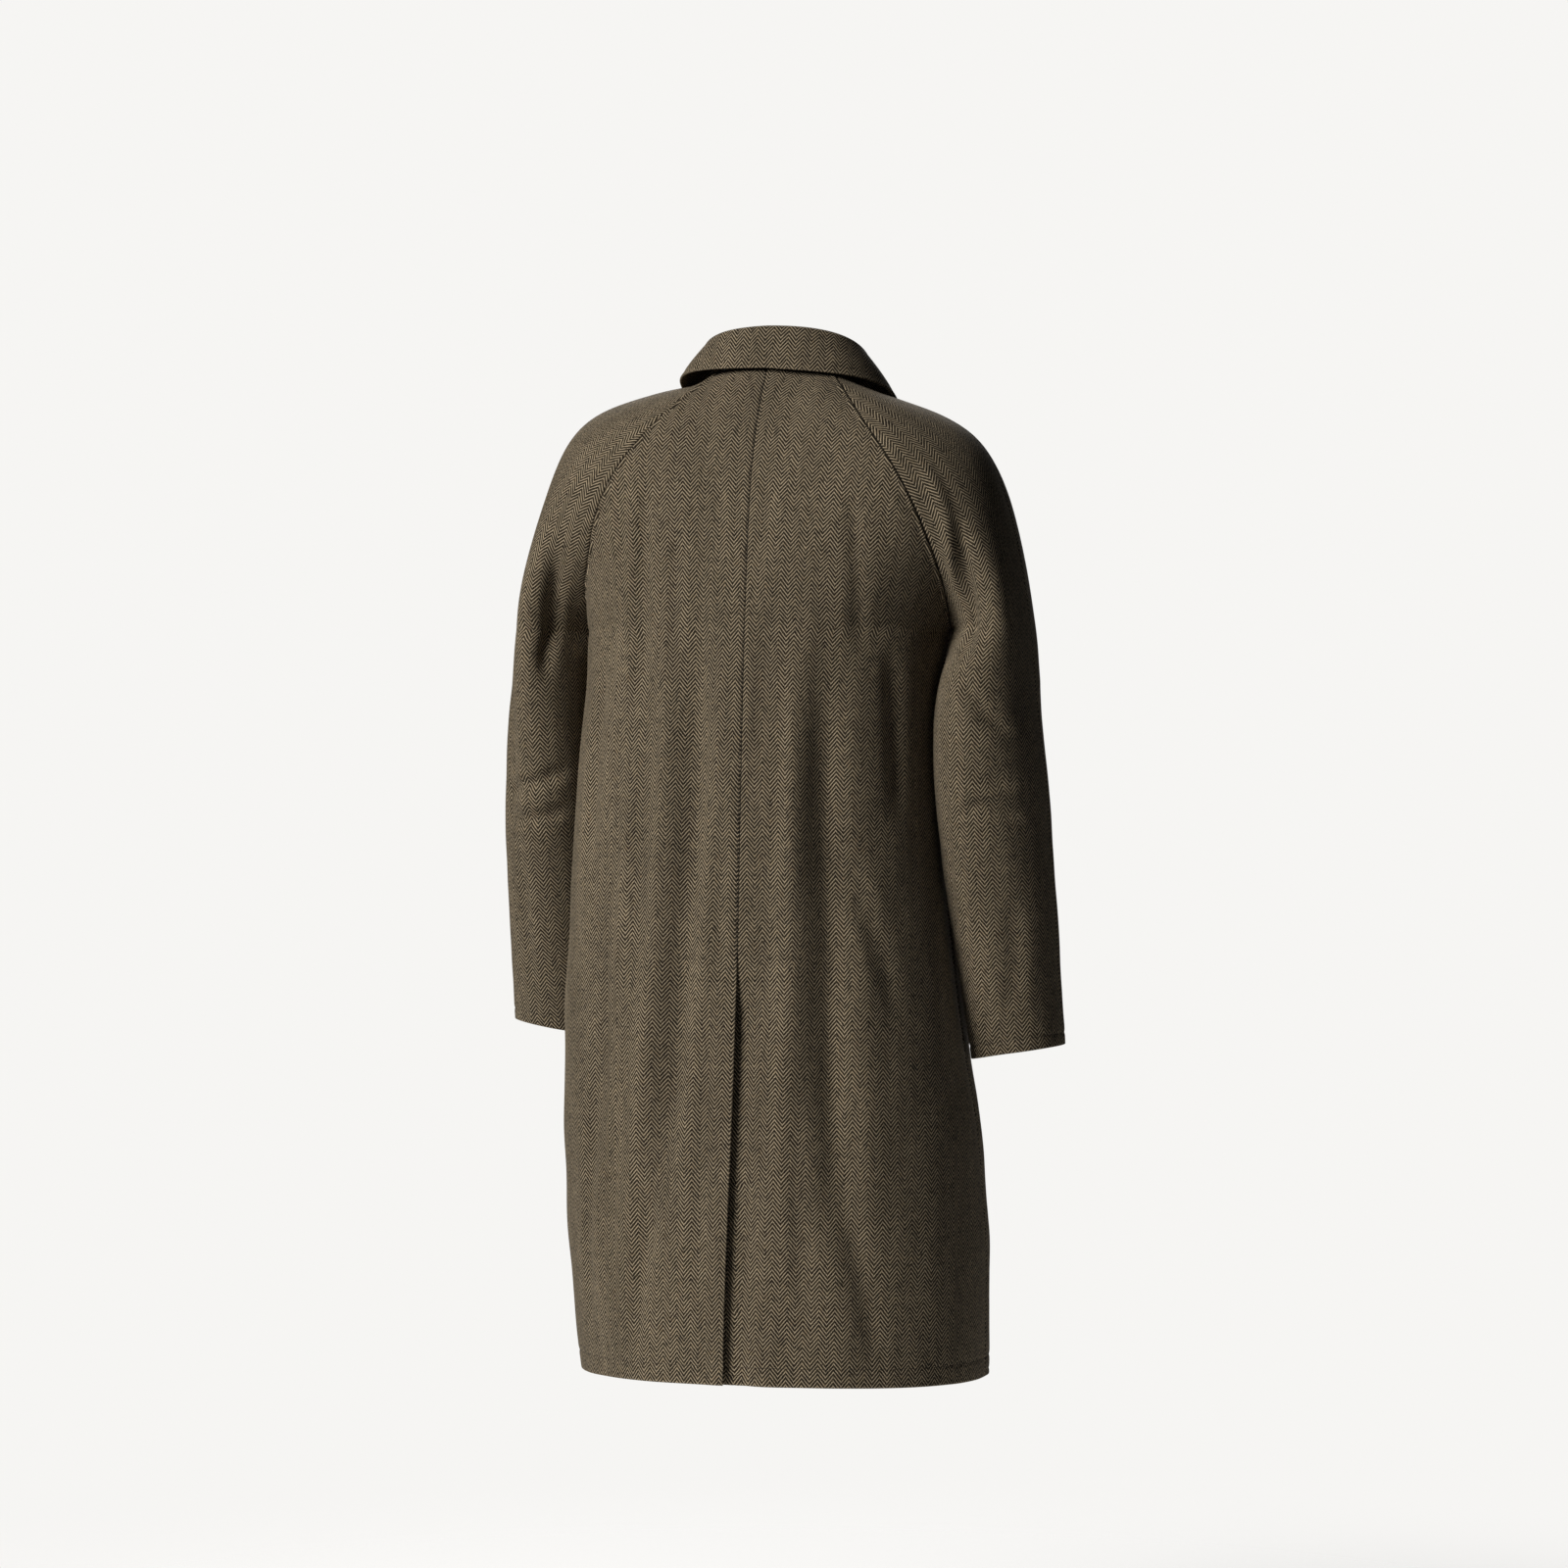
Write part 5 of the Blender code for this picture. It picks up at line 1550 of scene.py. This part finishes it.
def button_points(buttons, place, outward):
    """Rings of a button from its back to its face: rounded rim, dished middle, four holes."""
    r = buttons.radius
    h = buttons.thickness
    turn = np.linspace(-0.5, 0.5, 9) * math.pi
    rim = [(r - h / 2 + h / 2 * math.cos(a), h / 2 + h / 2 * math.sin(a)) for a in turn]
    back = [(r * s, 0.0) for s in (0.05, 0.3, 0.6)]
    dish = [(r * s, h - BUTTON_DISH * float(ramp(0.86 - s, 0.0, 0.16)))
            for s in np.linspace(0.84, 0.02, 34)]
    profile = np.array(back + rim + dish)
    angle = np.linspace(0.0, math.tau, RING_POINTS + 1)[:-1]
    x = profile[:, :1] * np.cos(angle)
    y = profile[:, :1] * np.sin(angle)
    z = np.broadcast_to(profile[:, 1:], x.shape).copy()
    face = (np.arange(len(profile)) >= len(back) + len(rim))[:, None]
    for sx in (-HOLE_SPREAD, HOLE_SPREAD):
        for sy in (-HOLE_SPREAD, HOLE_SPREAD):
            pit = 1 - ramp(np.hypot(x - sx, y - sy), buttons.hole * 0.75, buttons.hole * 1.15)
            z = z - face * pit * HOLE_DEPTH
    across = np.array([1.0, 0.0, 0.0])
    up = np.cross(outward, across)
    return (place + outward * (BUTTON_CLEARANCE + z[..., None])
            + across * x[..., None] + up * y[..., None])


def aimed(obj, target):
    """Turns a camera or light so that it looks at the target."""
    obj.rotation_euler = (Vector(target) - obj.location).to_track_quat("-Z", "Y").to_euler()


def soft_light(name, place, size, power, colour):
    """A square soft light, aimed at the middle of the coat."""
    data = bpy.data.lights.new(name, "AREA")
    data.shape = "RECTANGLE"
    data.size = size
    data.size_y = size
    data.energy = power
    data.color = colour
    obj = bpy.data.objects.new(name, data)
    bpy.context.scene.collection.objects.link(obj)
    obj.location = place
    aimed(obj, LIGHT_AIM)


def background(tree, colour, strength):
    """A background shader for the room."""
    node = tree.nodes.new("ShaderNodeBackground")
    node.inputs["Color"].default_value = colour
    node.inputs["Strength"].default_value = strength
    return node.outputs[0]


class COAT_OT_studio(bpy.types.Operator):
    """Sets up the floor, the lights, the room and the camera"""

    bl_idname = "coat.studio"
    bl_label = "Studio"

    def execute(self, context):
        studio = context.scene.coat_studio
        scene = context.scene
        turn = np.linspace(0.0, math.tau, RING_POINTS + 1)[:-1]
        reach = np.linspace(0.0, studio.floor_reach, 9)[1:]
        rings = np.stack([reach[:, None] * np.cos(turn), reach[:, None] * np.sin(turn),
                          np.full((len(reach), len(turn)), -studio.floor_drop)], axis=2)
        points = np.concatenate([rings.reshape(-1, 3), [[0.0, 0.0, -studio.floor_drop]]])
        index = np.arange(rings.shape[0] * rings.shape[1]).reshape(rings.shape[:2])
        ahead = np.roll(index, -1, axis=1)
        quads = np.stack([index[:-1], index[1:], ahead[1:], ahead[:-1]], axis=-1)
        middle = np.column_stack([index[0], ahead[0], np.full(len(turn), len(points) - 1)])
        data = bpy.data.meshes.new("pale_floor")
        data.from_pydata(points.tolist(), [],
                         quads.reshape(-1, 4).tolist() + middle.tolist())
        bench = Bench("pale_floor", 0.95)
        place = bench.node("ShaderNodeTexCoord", {}, {}, 3)
        far = bench.node("ShaderNodeVectorMath", {"operation": "LENGTH"}, {
            0: bench.node("ShaderNodeMapping", {}, {"Vector": place, "Scale": (1, 1, 0)})}, 1)
        bench.set("Base Color", opaque((0.80, 0.795, 0.78)))
        bench.set("Emission Color", opaque(studio.backdrop))
        bench.set("Emission Strength", 0.35)
        bench.set("Alpha", 1 - bench.step(far, studio.floor_reach * 0.25,
                                          studio.floor_reach * 0.98))
        data.materials.append(bench.material)
        floor = bpy.data.objects.new("pale_floor", data)
        scene.collection.objects.link(floor)
        soft_light("key_light", (2.2, 3.35, 1.4), 1.9, studio.key_power, (1.0, 0.97, 0.93))
        soft_light("front_light", (0.9, -3.4, 1.2), 2.2, studio.front_power,
                   (0.96, 0.97, 1.0))
        world = bpy.data.worlds.new("pale_room")
        world.use_nodes = True
        tree = world.node_tree
        tree.nodes.clear()
        seen = background(tree, opaque(studio.backdrop), 1.0)
        lit = background(tree, (0.95, 0.97, 1.0, 1.0), studio.world_light)
        ray = tree.nodes.new("ShaderNodeLightPath")
        mix = tree.nodes.new("ShaderNodeMixShader")
        out = tree.nodes.new("ShaderNodeOutputWorld")
        tree.links.new(ray.outputs["Is Camera Ray"], mix.inputs[0])
        tree.links.new(lit, mix.inputs[1])
        tree.links.new(seen, mix.inputs[2])
        tree.links.new(mix.outputs[0], out.inputs["Surface"])
        scene.world = world
        scene.view_settings.view_transform = "Standard"
        scene.view_settings.look = "None"
        turn = math.radians(studio.azimuth)
        away = np.array([math.sin(turn), -math.cos(turn), 0.0])
        aim = np.array(CAMERA_AIM)
        camera_data = bpy.data.cameras.new("coat_camera")
        camera_data.sensor_width = CAMERA_SENSOR
        camera_data.lens = CAMERA_LENS
        camera = bpy.data.objects.new("coat_camera", camera_data)
        scene.collection.objects.link(camera)
        camera.location = aim + away * studio.distance
        aimed(camera, aim)
        scene.camera = camera
        return {"FINISHED"}


class COAT_PT_panel(bpy.types.Panel):
    """Lists the operators and the sizes of the coat"""

    bl_idname = "COAT_PT_panel"
    bl_label = "Car coat"
    bl_space_type = "VIEW_3D"
    bl_region_type = "UI"
    bl_category = "Coat"

    def draw(self, context):
        for operator in OPERATORS:
            self.layout.operator(operator.bl_idname)
        for group in GROUPS:
            box = self.layout.box()
            settings = getattr(context.scene, group)
            for key in settings.bl_rna.properties.keys():
                if key not in ("rna_type", "name"):
                    box.prop(settings, key)


OPERATORS = (COAT_OT_body, COAT_OT_sleeves, COAT_OT_collar, COAT_OT_sewing,
             COAT_OT_buttons, COAT_OT_studio)
GROUPS = {"coat_cloth": CoatCloth, "coat_sewing": CoatSewing, "coat_buttons": CoatButtons,
          "coat_studio": CoatStudio}


def register():
    """Registers the settings, the operators and the panel."""
    for each in (*GROUPS.values(), *OPERATORS, COAT_PT_panel):
        bpy.utils.register_class(each)
    for name, group in GROUPS.items():
        setattr(bpy.types.Scene, name, PointerProperty(type=group))


def unregister():
    """Takes them out again."""
    for name in GROUPS:
        delattr(bpy.types.Scene, name)
    for each in (COAT_PT_panel, *reversed(OPERATORS), *reversed(list(GROUPS.values()))):
        bpy.utils.unregister_class(each)


def main():
    """Builds the coat and its studio."""
    register()
    bpy.ops.coat.body()
    bpy.ops.coat.sleeves()
    bpy.ops.coat.collar()
    bpy.ops.coat.sewing()
    bpy.ops.coat.buttons()
    bpy.ops.coat.studio()


if __name__ == "__main__":
    main()
